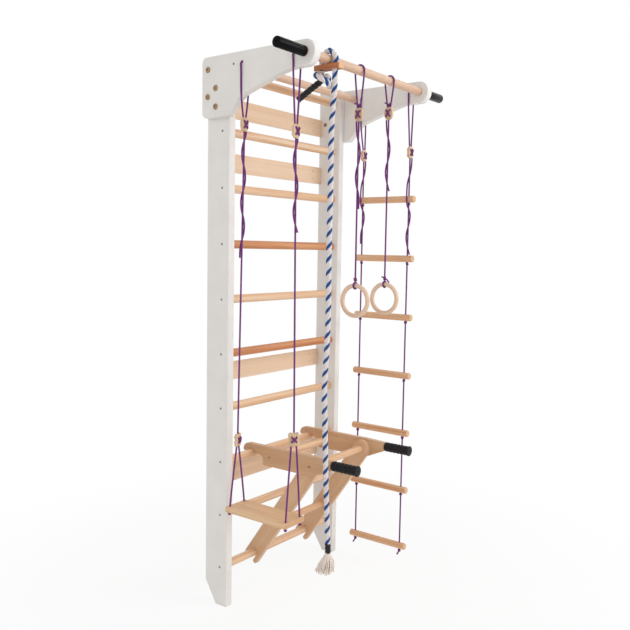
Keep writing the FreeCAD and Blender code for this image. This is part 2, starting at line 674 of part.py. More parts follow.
def ladder_tail_points(top, bottom, rung_z, end_z):
    """The free end of a ladder cord, which winds round the cord but passes the highest rung on one side."""
    wound = tail_points(top, bottom, end_z, LADDER_TAIL_TURN)
    out = LADDER_RUNG_DIAMETER / 2 + CORD_DIAMETER / 2 + LADDER_TAIL_PASS_GAP
    high, low = rung_z + LADDER_TAIL_PASS_RISE, rung_z - LADDER_TAIL_PASS_RISE
    above = [point for point in wound if point.z > high + LADDER_TAIL_PASS_RISE / 2]
    beside = [Vector(top.x - out, top.y, high), Vector(top.x - out, top.y, low)]
    step = TAIL_PITCH / TAIL_STEPS
    below = tail_points(Vector(top.x, top.y, low - step / 2), bottom, end_z, LADDER_TAIL_TURN)
    return above + beside + below[1:]


def build_swing():
    """The swing under the left bracket plate: loops, adjusters, cords, toggles, bridles and seat."""
    middle = -PLATE_MIDDLE
    loops, adjusters, toggles, bridles, knots = [], [], [], [], []
    seat_middle = at(middle, SEAT_FROM_WALL, SEAT_TOP)
    seat_low = seat_middle - Vector(SEAT_WIDTH / 2, SEAT_LENGTH / 2, SEAT_THICKNESS)
    seat = Part.makeBox(SEAT_WIDTH, SEAT_LENGTH, SEAT_THICKNESS, seat_low)
    upright_edges = [e for e in seat.Edges if e.BoundBox.ZLength > WOOD_FIT]
    seat = seat.makeFillet(SEAT_CORNER, upright_edges)
    level_edges = [e for e in seat.Edges if e.BoundBox.ZLength < WOOD_FIT]
    seat = seat.makeFillet(SEAT_ROUNDING, level_edges)
    for name, from_wall, adjuster_z, tail_z, toggle_z, toggle_turn in SWING_CORDS:
        is_rear = name == "rear"
        seat_ahead = SEAT_FROM_WALL + (-SEAT_HOLE_HALF_LENGTH if is_rear else SEAT_HOLE_HALF_LENGTH)
        loops.append(plate_loop("swing loop " + name, -1, from_wall, from_wall, adjuster_z))
        adjusters.append(adjuster(at(middle, from_wall, adjuster_z), 0))
        toggle_at = at(middle, seat_ahead, toggle_z)
        toggles.append(toggle(toggle_at, toggle_turn))
        top = at(middle, from_wall, adjuster_z - ADJUSTER_HEIGHT / 2)
        bottom = toggle_at + Z_AXIS * (TOGGLE_HEIGHT / 2)
        main = cord_tube("swing cord " + name, [top, bottom], CORD_DIAMETER)
        tail = cord_tube("swing tail " + name, tail_points(top, bottom, tail_z, 0), CORD_DIAMETER)
        save("swing_cord_" + name, main, tail)
        for side in (-1, 1):
            hole_x = middle + side * SEAT_HOLE_HALF_WIDTH
            turn = math.radians(toggle_turn)
            start = toggle_at + Vector(math.cos(turn), math.sin(turn), 0) * side * TOGGLE_HOLE_HALF
            start = start - Z_AXIS * (TOGGLE_HEIGHT / 2)
            knee = at(hole_x, seat_ahead, SEAT_TOP + SEAT_BEND_RISE)
            under = at(hole_x, seat_ahead, SEAT_TOP - SEAT_THICKNESS - KNOT_HEIGHT - CORD_GAP)
            bends = [0, SEAT_BEND_RADIUS, 0]
            bridles.append(cord_tube("bridle " + name, [start, knee, under], CORD_DIAMETER, bends))
            way = rod(SEAT_HOLE_DIAMETER, at(hole_x, seat_ahead, SEAT_TOP + OVERRUN), under)
            seat = seat.cut(way)
            knot_z = SEAT_TOP - SEAT_THICKNESS - CORD_GAP - KNOT_HEIGHT / 2
            knots.append(knot(at(hole_x, seat_ahead, knot_z)))
    save("swing_loops", *loops)
    save("swing_adjusters", *adjusters)
    save("swing_toggles", *toggles)
    save("swing_bridles", *bridles)
    save("swing_knots", *knots)
    save("swing_seat", seat)


def build_ladder():
    """The rope ladder under the right bracket plate."""
    middle = PLATE_MIDDLE
    loops, adjusters, knots, rungs = [], [], [], []
    heights = [LADDER_LOWEST + i * LADDER_PITCH for i in range(LADDER_RUNG_COUNT)]
    half_length = LADDER_RUNG_LENGTH / 2
    for z in heights:
        rung = rod(LADDER_RUNG_DIAMETER, at(middle, LADDER_RUNG_FROM_WALL + half_length, z),
                   at(middle, LADDER_RUNG_FROM_WALL - half_length, z))
        rims = [edge for edge in rung.Edges if edge.BoundBox.YLength < WOOD_FIT]
        rung = rung.makeFillet(LADDER_RUNG_ROUNDING, rims)
        for name, top_ahead, ahead, tail_z in LADDER_CORDS:
            rung = rung.cut(rod(LADDER_HOLE_DIAMETER, at(middle, ahead, z - LADDER_RUNG_DIAMETER),
                                at(middle, ahead, z + LADDER_RUNG_DIAMETER)))
            knots.append(knot(at(middle, ahead, z - LADDER_RUNG_DIAMETER / 2 - KNOT_HEIGHT / 2 - CORD_GAP)))
        rungs.append(rung)
    for name, top_ahead, ahead, tail_z in LADDER_CORDS:
        loops.append(plate_loop("ladder loop " + name, 1, ahead, top_ahead, LADDER_ADJUSTER_HEIGHT))
        adjusters.append(adjuster(at(middle, ahead, LADDER_ADJUSTER_HEIGHT), 0))
        top = at(middle, ahead, LADDER_ADJUSTER_HEIGHT - ADJUSTER_HEIGHT / 2)
        bottom = at(middle, ahead, LADDER_CORD_END)
        main = cord_tube("ladder cord " + name, [top, bottom], CORD_DIAMETER)
        tail_route = ladder_tail_points(top, bottom, heights[-1], tail_z)
        tail = cord_tube("ladder tail " + name, tail_route, CORD_DIAMETER)
        save("ladder_cord_" + name, main, tail)
    save("ladder_loops", *loops)
    save("ladder_adjusters", *adjusters)
    save("ladder_knots", *knots)
    save("ladder_rungs", *rungs)


def build_rings():
    """The two gym rings, each on a cord looped over the pull-up bar."""
    for name, x, adjuster_z, tail_z in RINGS:
        ahead = BAR_FROM_WALL
        centre = at(x, ahead, RING_CENTRE_HEIGHT)
        ring = Part.makeTorus((RING_DIAMETER - RING_SECTION) / 2, RING_SECTION / 2, centre, X_AXIS)
        save("ring_" + name, ring)
        save("ring_adjuster_" + name, adjuster(at(x, ahead, adjuster_z), 90))
        section_top = at(x, ahead, RING_CENTRE_HEIGHT + (RING_DIAMETER - RING_SECTION) / 2)
        sling_radius = (RING_SECTION + CORD_DIAMETER) / 2 + CORD_GAP
        sling = Part.makeTorus(sling_radius, CORD_DIAMETER / 2, section_top, Y_AXIS)
        round_bar = BAR_DIAMETER / 2 + CORD_DIAMETER / 2 + CORD_GAP
        bar = at(x, ahead, BAR_HEIGHT)
        start = at(x, ahead + STRAND_HALF_GAP, strand_end(adjuster_z, WOOD_FIT))
        to_bar = bar - start
        lean = math.atan2(to_bar.y, to_bar.z)
        slip = math.asin(round_bar / to_bar.Length)
        angle = lean - slip
        tangent = to_bar.Length * math.cos(slip)
        touch = start + Vector(0, math.sin(angle), math.cos(angle)) * tangent
        far_touch = Vector(touch.x, 2 * bar.y - touch.y, touch.z)
        finish = Vector(start.x, 2 * bar.y - start.y, start.z)
        wire = Part.Wire([
            Part.LineSegment(start, touch).toShape(),
            Part.Arc(touch, bar + Z_AXIS * round_bar, far_touch).toShape(),
            Part.LineSegment(far_touch, finish).toShape(),
        ])
        section = Part.Wire(Part.makeCircle(CORD_DIAMETER / 2, start, touch - start))
        loop = wire.makePipeShell([section], True, False)
        print("cord ring loop", name, "length", round(wire.Length, 1))
        bottom = section_top + Z_AXIS * (sling_radius + CORD_DIAMETER / 2 + CORD_GAP)
        ring_knot = knot(bottom + Z_AXIS * (KNOT_HEIGHT / 2))
        top = at(x, ahead, adjuster_z - ADJUSTER_HEIGHT / 2)
        main = cord_tube("ring cord " + name, [top, bottom], CORD_DIAMETER)
        tail = cord_tube("ring tail " + name, tail_points(top, bottom, tail_z, 90), CORD_DIAMETER)
        save("ring_cord_" + name, loop, main, tail, ring_knot, sling)


def over_bar(first_angle, last_angle):
    """The corner between two lines that touch the rope's turn over the bar, written as rope_route's are."""
    middle = math.radians((first_angle + last_angle) / 2)
    reach = ROPE_OVER_BAR / math.cos(math.radians((last_angle - first_angle) / 2))
    return 0.0, reach * math.cos(middle), -reach * math.sin(middle), ROPE_OVER_BAR_RADIUS


def rope_route():
    """The rope's corners and their radii, from its bound end up to the bar, over it and round to its tail.

    Each corner is written as its place along the bar, ahead of the bar and below it, and its radius, where 0
    leaves the radius to the runs beside it.
    """
    mouth = BLOCK_HOLE_SPACING / 2
    from_bar = (
        (53.0, 0.0, 1873.0, 0.0),
        (47.0, 0.0, 1790.0, 0.0),
        (40.0, 0.0, 1700.0, 0.0),
        (29.0, 0.0, 1560.0, 0.0),
        (19.0, 0.0, 1380.0, 0.0),
        (7.0, 0.0, 1220.0, 0.0),
        (20.0, 0.0, 1080.0, 0.0),
        (27.0, 0.0, 920.0, 0.0),
        (21.0, 0.0, 700.0, 0.0),
        (25.0, 0.0, 480.0, 0.0),
        (22.0, 0.0, 260.0, 0.0),
        (21.0, 6.0, 165.0, 0.0),
        (13.0, 18.0, 110.0, 0.0),
        (4.9, 25.0, 74.0, 0.0),
        (0.0, mouth, 46.0, 0.0),
        (0.0, mouth, ROPE_MOUTH_DROP, ROPE_MOUTH_RADIUS),
        over_bar(-25.0, 45.0),
        over_bar(45.0, 135.0),
        over_bar(135.0, 205.0),
        (0.0, -mouth, ROPE_MOUTH_DROP, ROPE_MOUTH_RADIUS),
        (0.3, -29.3, 46.0, 0.0),
        (-23.5, -36.2, 62.8, 0.0),
        (-47.0, -20.6, 69.9, 0.0),
        (-43.5, 2.2, 88.0, 0.0),
        (-16.4, 10.2, 95.2, 0.0),
        (8.2, -5.6, 84.3, 0.0),
        (17.2, -38.0, 71.8, 0.0),
        (2.4, -61.0, 81.0, 0.0),
        (-60.0, -95.0, 145.0, 0.0),
    )
    points = [
        at(ROPE_X + along, BAR_FROM_WALL + ahead, BAR_HEIGHT - drop)
        for along, ahead, drop, radius in from_bar
    ]
    return points, [corner[3] for corner in from_bar]


def rope_sleeve(end, inner_point, length):
    """A sleeve over the rope's end, and the way the rope points there."""
    outward = (end - inner_point).normalize()
    start = end - outward * length
    hollow_diameter = ROPE_DIAMETER + 2 * WOOD_FIT
    sleeve = rod(hollow_diameter + 2 * ROPE_SLEEVE_WALL, start, end)
    return sleeve.cut(rod(hollow_diameter, start - outward * OVERRUN, end + outward * OVERRUN)), outward


def build_climbing_rope():
    """The climbing rope with its turn over the bar, its wooden block, sleeves and tassel."""
    route, radii = rope_route()
    save("climbing_rope", cord_tube("climbing rope", route, ROPE_DIAMETER, radii))
    top_middle = at(ROPE_X, BAR_FROM_WALL, BAR_HEIGHT - BAR_DIAMETER / 2 - BLOCK_GAP)
    low = top_middle - Vector(BLOCK_WIDTH / 2, BLOCK_LENGTH / 2, BLOCK_HEIGHT)
    block = Part.makeBox(BLOCK_WIDTH, BLOCK_LENGTH, BLOCK_HEIGHT, low)
    upright_edges = [edge for edge in block.Edges if edge.BoundBox.ZLength > WOOD_FIT]
    block = block.makeFillet(BLOCK_CORNER, upright_edges)
    for side in (-1, 1):
        mouth = top_middle + Vector(0, side * BLOCK_HOLE_SPACING / 2, OVERRUN)
        block = block.cut(rod(BLOCK_HOLE_DIAMETER, mouth, mouth - Z_AXIS * (BLOCK_HEIGHT + 2 * OVERRUN)))
    save("rope_block", block)
    end_sleeve, downward = rope_sleeve(route[0], route[1], END_SLEEVE_LENGTH)
    tail_sleeve, outward = rope_sleeve(route[-1], route[-2], TAIL_SLEEVE_LENGTH)
    save("rope_end_sleeve", end_sleeve)
    save("rope_tail_sleeve", tail_sleeve)
    tassel = Part.makeCone(ROPE_DIAMETER / 2, TASSEL_DIAMETER / 2, TASSEL_LENGTH, route[0], downward)
    save("rope_tassel", tassel)


def arm_corners():
    """The side view of a dip arm, from the tip of its hook over the top to its front and back underneath."""
    z = rung_height(DIP_RUNG)
    top = z + ARM_TOP_RISE
    bottom = top - ARM_HEIGHT
    hook = RUNG_DIAMETER / 2 + RUNNING_GAP
    rear, ahead = math.radians(HOOK_REAR_ANGLE), math.radians(HOOK_FRONT_ANGLE)
    neck_top = top - ARM_NECK_DROP
    return (
        (RUNG_FROM_WALL - hook * math.cos(rear), z + hook * math.sin(rear), 0.0),
        (RUNG_FROM_WALL - ARM_HOOK_BACK, z + ARM_HOOK_TIP_RISE, ARM_TIP_RADIUS),
        (RUNG_FROM_WALL - ARM_HOOK_BACK + ARM_TIP_RADIUS, top, ARM_HOOK_RADIUS),
        (ARM_TAPER_START, top, 0.0),
        (ARM_FRONT, neck_top, 0.0),
        (ARM_FRONT, neck_top - ARM_NECK_HEIGHT, 0.0),
        (ARM_TAPER_START, bottom, ARM_HOOK_RADIUS),
        (RUNG_FROM_WALL + ARM_HEEL, bottom, ARM_CORNER),
        (RUNG_FROM_WALL + ARM_HEEL, z - ARM_HEEL_DROP, ARM_HEEL_RADIUS),
        (RUNG_FROM_WALL - hook * math.cos(ahead), z + hook * math.sin(ahead), 0.0),
    )


def build_dip_station():
    """The hook-on dip station: two arms with hooks, two legs, three dowels and two grips."""
    z_hook, z_foot = rung_height(DIP_RUNG), rung_height(DIP_FOOT_RUNG)
    leg_top = z_hook - LEG_TOP_DROP
    run, rise = LEG_TOP_FROM_WALL - RUNG_FROM_WALL, leg_top - z_foot
    leg_length = math.hypot(run, rise)
    slot = RUNG_DIAMETER / 2 + RUNNING_GAP
    half = LEG_WIDTH / 2
    foot = leg_length + LEG_PRONG

    def leg_view(along, across):
        ahead = LEG_TOP_FROM_WALL - along * run / leg_length - across * rise / leg_length
        return at(0, ahead, leg_top - along * rise / leg_length + across * run / leg_length)

    leg_corners = (
        (-half, -half, half - WOOD_FIT),
        (-half, half, half - WOOD_FIT),
        (foot, half, LEG_PRONG_RADIUS),
        (foot, slot, LEG_PRONG_RADIUS),
        (leg_length, slot, 0.0),
        (leg_length, -slot, 0.0),
        (foot, -slot, LEG_PRONG_RADIUS),
        (foot, -half, LEG_PRONG_RADIUS),
    )
    inner = DIP_HALF_WIDTH - 2 * DIP_BOARD
    dowel_places = (
        (LEG_TOP_FROM_WALL, leg_top, inner),
        (RUNG_FROM_WALL + DIP_REAR_DOWEL_AHEAD, z_hook - DIP_REAR_DOWEL_DROP, DIP_HALF_WIDTH - DIP_BOARD),
        (RUNG_FROM_WALL + run * DIP_LOW_DOWEL_SHARE, z_foot + rise * DIP_LOW_DOWEL_SHARE, inner),
    )
    reach_of_head = (DIP_HALF_WIDTH, DIP_HALF_WIDTH, DIP_HALF_WIDTH - DIP_BOARD)
    dowels = [
        rod(DIP_DOWEL_DIAMETER, at(DIP_OFFSET - reach, ahead, z), at(DIP_OFFSET + reach, ahead, z))
        for ahead, z, reach in dowel_places
    ]
    screws, grips = [], []
    grip_z = z_hook + ARM_TOP_RISE - DIP_GRIP_DROP
    for side, name in ((-1, "left"), (1, "right")):
        outer = DIP_OFFSET + side * DIP_HALF_WIDTH
        arm_inner = outer - side * DIP_BOARD
        leg_inner = arm_inner - side * DIP_BOARD
        arm = board(arm_corners(), min(outer, arm_inner), max(outer, arm_inner), side_view)
        past_outer, past_inner = outer + side * OVERRUN, leg_inner - side * OVERRUN
        seat_on_hook = (at(past_outer, RUNG_FROM_WALL, z_hook), at(past_inner, RUNG_FROM_WALL, z_hook))
        seat_on_foot = (at(past_outer, RUNG_FROM_WALL, z_foot), at(past_inner, RUNG_FROM_WALL, z_foot))
        arm = arm.cut(rod(RUNG_DIAMETER + 2 * RUNNING_GAP, *seat_on_hook))
        tongue_low = at(min(outer, arm_inner), ARM_FRONT + TONGUE_LENGTH, grip_z - TONGUE_HEIGHT / 2)
        tongue = Part.makeBox(DIP_BOARD, TONGUE_LENGTH + OVERRUN, TONGUE_HEIGHT, tongue_low)
        arm = arm.fuse(tongue).removeSplitter()
        leg = board(leg_corners, min(arm_inner, leg_inner), max(arm_inner, leg_inner), leg_view)
        leg = leg.cut(rod(RUNG_DIAMETER + 2 * RUNNING_GAP, *seat_on_foot))
        inward = X_AXIS * -side
        for i, (ahead, z, reach) in enumerate(dowel_places):
            head_at = at(DIP_OFFSET + side * reach_of_head[i], ahead, z)
            seat = head_at + inward * (WOOD_FIT + SCREW_HEAD_HEIGHT)
            recess = rod(SCREW_HEAD_DIAMETER + 2 * WOOD_FIT, head_at - inward * OVERRUN, seat)
            way = screw_way(seat, inward, DIP_SCREW_LENGTH)
            arm = arm.cut(way)
            leg = leg.cut(way)
            if reach_of_head[i] == DIP_HALF_WIDTH:
                arm = arm.cut(recess)
            else:
                leg = leg.cut(recess)
            dowels[i] = dowels[i].cut(way)
            screws.append(screw(seat, inward, DIP_SCREW_LENGTH))
        save("dip_arm_" + name, arm)
        save("dip_leg_" + name, leg)
        middle = (outer + arm_inner) / 2
        grip_back = at(middle, ARM_FRONT, grip_z)
        grip_front = at(middle, ARM_FRONT + DIP_GRIP_LENGTH, grip_z)
        grip = rod(DIP_GRIP_DIAMETER, grip_back, grip_front)
        grip = grip.fuse(rod(DIP_GRIP_FLANGE, grip_front + Y_AXIS * DIP_GRIP_FLANGE_LENGTH, grip_front))
        pitch = (DIP_GRIP_LENGTH - DIP_GRIP_FLANGE_LENGTH) / (DIP_GRIP_RIB_COUNT + 1)
        for i in range(DIP_GRIP_RIB_COUNT):
            rib_at = grip_back - Y_AXIS * (pitch * (i + 1))
            half_rib = Y_AXIS * (pitch / 4)
            rib_diameter = DIP_GRIP_DIAMETER + 2 * DIP_GRIP_RIB_HEIGHT
            grip = grip.fuse(rod(rib_diameter, rib_at + half_rib, rib_at - half_rib))
        hollow_width, hollow_height = DIP_BOARD + 2 * GRIP_FIT, TONGUE_HEIGHT + 2 * GRIP_FIT
        hollow_depth = TONGUE_LENGTH + GRIP_FIT
        hollow_low = at(middle - hollow_width / 2, ARM_FRONT + hollow_depth, grip_z - hollow_height / 2)
        hollow = Part.makeBox(hollow_width, hollow_depth + OVERRUN, hollow_height, hollow_low)
        grips.append(grip.removeSplitter().cut(hollow))
    save("dip_grips", *grips)
    save("dip_dowels", *dowels)
    save("dip_screws", *screws)


os.makedirs("parts", exist_ok=True)
build_uprights()
frame_screws = build_rungs()
build_slats()
frame_screws += build_brackets()
save("frame_screws", *frame_screws)
build_swing()
build_ladder()
build_rings()
build_climbing_rope()
build_dip_station()
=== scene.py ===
"""Wall bars with a climbing rope, gym rings, a swing, a rope ladder and a hook-on dip station.

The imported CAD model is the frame. Cords, rope, sleeves, tassel, knots, lacing, rings, small wooden plates,
grips, bolt heads and nuts are made here, and every solid that stays gets a finish. Lengths are metres, in the
CAD model's frame.
"""

import logging
import math
import random
from dataclasses import dataclass, field
from enum import Enum

import bpy
from mathutils import Matrix, Quaternion, Vector


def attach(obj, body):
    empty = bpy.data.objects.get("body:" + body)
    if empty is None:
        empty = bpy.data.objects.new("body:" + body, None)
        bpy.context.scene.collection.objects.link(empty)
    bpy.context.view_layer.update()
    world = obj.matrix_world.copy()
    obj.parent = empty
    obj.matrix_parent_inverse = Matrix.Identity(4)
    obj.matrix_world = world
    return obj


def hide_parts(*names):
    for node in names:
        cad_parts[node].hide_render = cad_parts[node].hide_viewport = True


LOG = logging.getLogger("wall_bars")

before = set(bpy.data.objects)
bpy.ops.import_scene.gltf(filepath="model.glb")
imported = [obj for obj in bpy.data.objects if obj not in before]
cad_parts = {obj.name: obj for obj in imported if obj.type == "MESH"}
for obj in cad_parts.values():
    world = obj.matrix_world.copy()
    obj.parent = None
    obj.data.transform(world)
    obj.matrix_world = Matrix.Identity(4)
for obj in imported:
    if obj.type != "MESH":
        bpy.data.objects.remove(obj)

# Places and sizes that the pieces share, as in the CAD model
WALL_Y = 0.308
HEIGHT = 2.2
BAR_FROM_WALL = 0.508
BAR_HEIGHT = 2.156
BAR_DIAMETER = 0.034
UPRIGHT_INNER = 0.351
PLATE_OUTER = 0.421
PLATE_MIDDLE = 0.4035
CORD_DIAMETER = 0.007
CORD_GAP = 0.0003
TAIL_RADIUS = 0.0105
TAIL_STEP = 0.0465
TAIL_LEAD = 0.011625
KNOT_HEIGHT = 0.014
STRAND_HALF_GAP = 0.007
ADJUSTER_HEIGHT = 0.052
ADJUSTER_SIZE = (0.038, ADJUSTER_HEIGHT)
ADJUSTER_THICKNESS = 0.012
ADJUSTER_PIVOT_RISE = 0.007
ADJUSTER_HEAD_RADIUS = 0.019
LACING_HALF = (0.0095, 0.0135)

# A bracket plate's lower edge rises from the wall side, then runs level under the nose
EDGE_START, EDGE_RUN = 0.205, 0.225
EDGE_DROP, NOSE_DROP = 0.162, 0.092

# A bracket plate's cord hole, and how the loop of cord bows out of it
PLATE_HOLE_DROP = 0.040
HOLE_REACH = 0.030
HOLE_BOW = 0.0047
HOLE_RISE = 0.002

# How far a dip leg's top end lies above its foot, and from it along Y
LEG_RISE, LEG_REACH = 0.436, -0.307

# A cord where it is pulled into a knot or a lacing, and the knot's line on it
KNOT_CORD_RADIUS = CORD_DIAMETER / 2 - 0.0002
LACING_CORD_RADIUS = CORD_DIAMETER / 2 - 0.0003
KNOT_SPREAD, KNOT_DEPTH = 0.0015, 0.0026
KNOT_TILT = math.radians(72)
KNOT_POINTS = 36
KNOT_TURN = 1.3
END_SAG = 0.18
LACING_HUMP = 0.0035

# How full an oval plate's outline is, and how a waisted one swells and narrows
OVAL_POWER = 0.74
WAISTED_MEAN, WAISTED_SWELL = 1.10, 0.21

# The angle between two faces, in radians, above which their edge stays sharp
SOFT_FORM, TURNED_FORM, METAL_FORM = 1.2, 0.7, 0.5

# At this scale a wave texture draws one band for each unit of its vector
WAVE_UNIT = 0.314

# The angle that spreads any number of yarns evenly
GOLDEN_ANGLE = 2.399963


class Axis(Enum):
    """The way a board's or a bar's grain runs."""

    X = 0
    Y = 1
    Z = 2


class Side(Enum):
    """The left or the right of the wall bars, as seen from the room."""

    LEFT = -1
    RIGHT = 1


def at(x: float, from_wall: float, z: float) -> Vector:
    """The point at x, that far in front of the wall and that high."""
    return Vector((x, WALL_Y - from_wall, z))


# ---------------------------------------------------------------- meshes


def smooth_line(points: list[Vector]) -> list[Vector]:
    """Follows a cord's route with one NURBS spline.

    Args:
        points: The route's corners, which are the spline's control points.

    Returns:
        Points along the spline, from its first end to its last.
    """
    data = bpy.data.curves.new("route", "CURVE")
    data.dimensions = "3D"
    spline = data.splines.new("NURBS")
    spline.points.add(len(points) - 1)
    for control, point in zip(spline.points, points):
        control.co = (*point, 1.0)
    spline.order_u = 3
    spline.use_endpoint_u = True
    spline.resolution_u = 10
    route = bpy.data.objects.new("route", data)
    mesh = bpy.data.meshes.new_from_object(route)
    line = [vertex.co.copy() for vertex in mesh.vertices]
    bpy.data.objects.remove(route)
    bpy.data.curves.remove(data)
    bpy.data.meshes.remove(mesh)
    return line


def length_along(line: list[Vector]) -> list[float]:
    """Measures a line.

    Args:
        line: The line's points.

    Returns:
        The length from its start to each of its points.
    """
    total = [0.0]
    for before, after in zip(line, line[1:]):
        total.append(total[-1] + (after - before).length)
    return total


def frames_along(line: list[Vector]) -> list[tuple[Vector, Vector, Vector]]:
    """Finds how a tube's rings stand along a line.

    Args:
        line: The line's points.

    Returns:
        Each point, with two directions square to the line that don't twist about it.
    """
    tangents = []
    for index in range(len(line)):
        before, after = line[max(index - 1, 0)], line[min(index + 1, len(line) - 1)]
        tangents.append((after - before).normalized())
    across = tangents[0].orthogonal().normalized()
    result = [(line[0], across, tangents[0].cross(across))]
    for index in range(1, len(line)):
        turn = tangents[index - 1].rotation_difference(tangents[index])
        across = turn @ across
        across = (across - tangents[index] * across.dot(tangents[index])).normalized()
        result.append((line[index], across, tangents[index].cross(across)))
    return result


def evenly(line: list[Vector], step: float) -> list[Vector]:
    """Lays points evenly along a line.

    Args:
        line: The line's points.
        step: How far apart the new points lie, to the nearest that fits.

    Returns:
        The new points, the line's two ends among them.
    """
    run = length_along(line)
    count = max(2, round(run[-1] / step))
    result, place = [], 0
    for index in range(count + 1):
        wanted = run[-1] * index / count
        while place < len(run) - 2 and run[place + 1] < wanted:
            place += 1
        span = max(run[place + 1] - run[place], 1e-9)
        result.append(line[place].lerp(line[place + 1], min(1.0, (wanted - run[place]) / span)))
    return result


@dataclass(frozen=True)
class Laid:
    """How a rope's strands show on its surface."""

    pitch: float
    depth: float
    strands: int = 3
    coloured: int = -1
    fullness: float = 2.4

    def sink(self, angle: float) -> float:
        """How far the surface lies below the strands' crowns, at that angle round the rope."""
        from_crown = abs(angle * self.strands / (2 * math.pi) % 1 - 0.5) * 2
        return self.depth * from_crown**self.fullness

    def finish(self, angle: float) -> int:
        """The number of the finish of the strand at that angle: 1 for the coloured one, 0 for the others."""
        return int(int(angle * self.strands / (2 * math.pi)) == self.coloured)


@dataclass
class Skin:
    """The surface of one piece while it is being made. UVs are in metres, along and round each tube."""

    points: list[Vector] = field(default_factory=list)
    faces: list[tuple[int, ...]] = field(default_factory=list)
    uvs: list[tuple[float, float]] = field(default_factory=list)
    finishes: list[int] = field(default_factory=list)

    def face(self, corners: tuple[int, ...], uvs: list[tuple[float, float]], finish: int) -> None:
        """Adds one face.

        Args:
            corners: The numbers of its points.
            uvs: The UV of each of its corners.
            finish: The number of its finish.
        """
        self.faces.append(corners)
        self.uvs.extend(uvs)
        self.finishes.append(finish)

    def tube(
        self,
        line: list[Vector],
        radius: float,
        sides: int = 10,
        finish: int = 0,
        closed: bool = False,
        end_share: float = 1.0,
        laid: Laid | None = None,
        span: tuple[float, float] | None = None,
    ) -> None:
        """Adds a tube along a line.

        Args:
            line: The tube's ring centres.
            radius: Its radius at the start.
            sides: The number of faces round it.
            finish: The number of its finish.
            closed: Whether the line's end meets its start.
            end_share: Its radius at the end, as a share of that at the start.
            laid: The strands that show on it, for a rope or a sleeve shrunk on one.
            span: The stretch of the line that gets a tube, as two lengths from its start, or None for all.
        """
        first = len(self.points)
        run = length_along(line)
        frames = frames_along(line)
        if span:
            chosen = [place for place, done in enumerate(run) if span[0] <= done <= span[1]]
            line = [line[place] for place in chosen]
            frames = [frames[place] for place in chosen]
            run = [run[place] for place in chosen]
        for (centre, across, up), done in zip(frames, run):
            size = radius * (1 + (end_share - 1) * done / run[-1])
            for side in range(sides):
                angle = 2 * math.pi * side / sides
                reach = size
                if laid:
                    reach = size - laid.sink(angle)
                    angle += 2 * math.pi * done / laid.pitch
                self.points.append(centre + (across * math.cos(angle) + up * math.sin(angle)) * reach)
        for ring in range(len(line) if closed else len(line) - 1):
            following = (ring + 1) % len(line)
            start_u = run[ring]
            end_u = run[following] if following else start_u + (line[0] - line[-1]).length
            for side in range(sides):
                other = (side + 1) % sides
                corners = (
                    first + ring * sides + side,
                    first + ring * sides + other,
                    first + following * sides + other,
                    first + following * sides + side,
                )
                low, high = (2 * math.pi * radius * k / sides for k in (side, side + 1))
                number = laid.finish(2 * math.pi * (side + 0.5) / sides) if laid else finish
                self.face(corners, [(start_u, low), (start_u, high), (end_u, high), (end_u, low)], number)
        if not closed:
            for ring, sign in ((0, -1), (len(line) - 1, 1)):
                loop = tuple(first + ring * sides + side for side in range(sides))
                self.face(loop if sign > 0 else loop[::-1], [(run[ring], 0.0)] * sides, finish)

    def lathe(
        self,
        profile: list[tuple[float, float, int]],
        base: Matrix,
        segments: int = 48,
        caps: tuple[bool, bool] = (False, True),
    ) -> None:
        """Adds a turned form.

        Args:
            profile: (height along the axis, radius, number of flats or 0 where it is round), end to end.
            base: Turns and moves the form, whose axis is Z.
            segments: The number of faces round it.
            caps: Whether its first and its last ring are closed by a flat face.
        """
        first = len(self.points)
        run = [0.0]
        for (low, inner, _), (high, outer, _) in zip(profile, profile[1:]):
            run.append(run[-1] + math.hypot(high - low, outer - inner))
        for height, radius, flats in profile:
            for side in range(segments):
                angle = 2 * math.pi * side / segments
                reach = radius
                if flats:
                    half = math.pi / flats
                    reach = radius / math.cos(angle % (2 * half) - half)
                self.points.append(base @ Vector((reach * math.cos(angle), reach * math.sin(angle), height)))
        for ring in range(len(profile) - 1):
            for side in range(segments):
                other = (side + 1) % segments
                corners = (
                    first + ring * segments + side,
                    first + ring * segments + other,
                    first + (ring + 1) * segments + other,
                    first + (ring + 1) * segments + side,
                )
                low, high = (2 * math.pi * profile[ring][1] * k / segments for k in (side, side + 1))
                uvs = [(run[ring], low), (run[ring], high), (run[ring + 1], high), (run[ring + 1], low)]
                self.face(corners, uvs, 0)
        for capped, ring in zip(caps, (0, len(profile) - 1)):
            if capped:
                loop = tuple(first + ring * segments + side for side in range(segments))
                self.face(loop if ring else loop[::-1], [(run[ring], 0.0)] * segments, 0)

    def piece(
        self, name: str, finishes: list[bpy.types.Material], body: str, flat_above: float = TURNED_FORM
    ) -> bpy.types.Object:
        """Makes the piece and lets it ride on a body.

        Args:
            name: The piece's name.
            finishes: Its materials, in the order of their numbers.
            body: The CAD body that it rides on.
            flat_above: The angle between two faces, in radians, above which their edge stays sharp.

        Returns:
            The piece.
        """
        mesh = bpy.data.meshes.new(name)
        mesh.from_pydata(self.points, [], self.faces)
        layer = mesh.uv_layers.new(name="length_and_girth")
        layer.data.foreach_set("uv", [value for uv in self.uvs for value in uv])
        mesh.polygons.foreach_set("material_index", self.finishes)
        mesh.polygons.foreach_set("use_smooth", [True] * len(self.faces))
        for material in finishes:
            mesh.materials.append(material)
        mesh.validate()
        mesh.update()
        mesh.set_sharp_from_angle(angle=flat_above)
        made = bpy.data.objects.new(name, mesh)
        bpy.context.scene.collection.objects.link(made)
        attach(made, body)
        LOG.info("%s: %d faces on %s", name, len(self.faces), body)
        return made


# ---------------------------------------------------------------- finishes


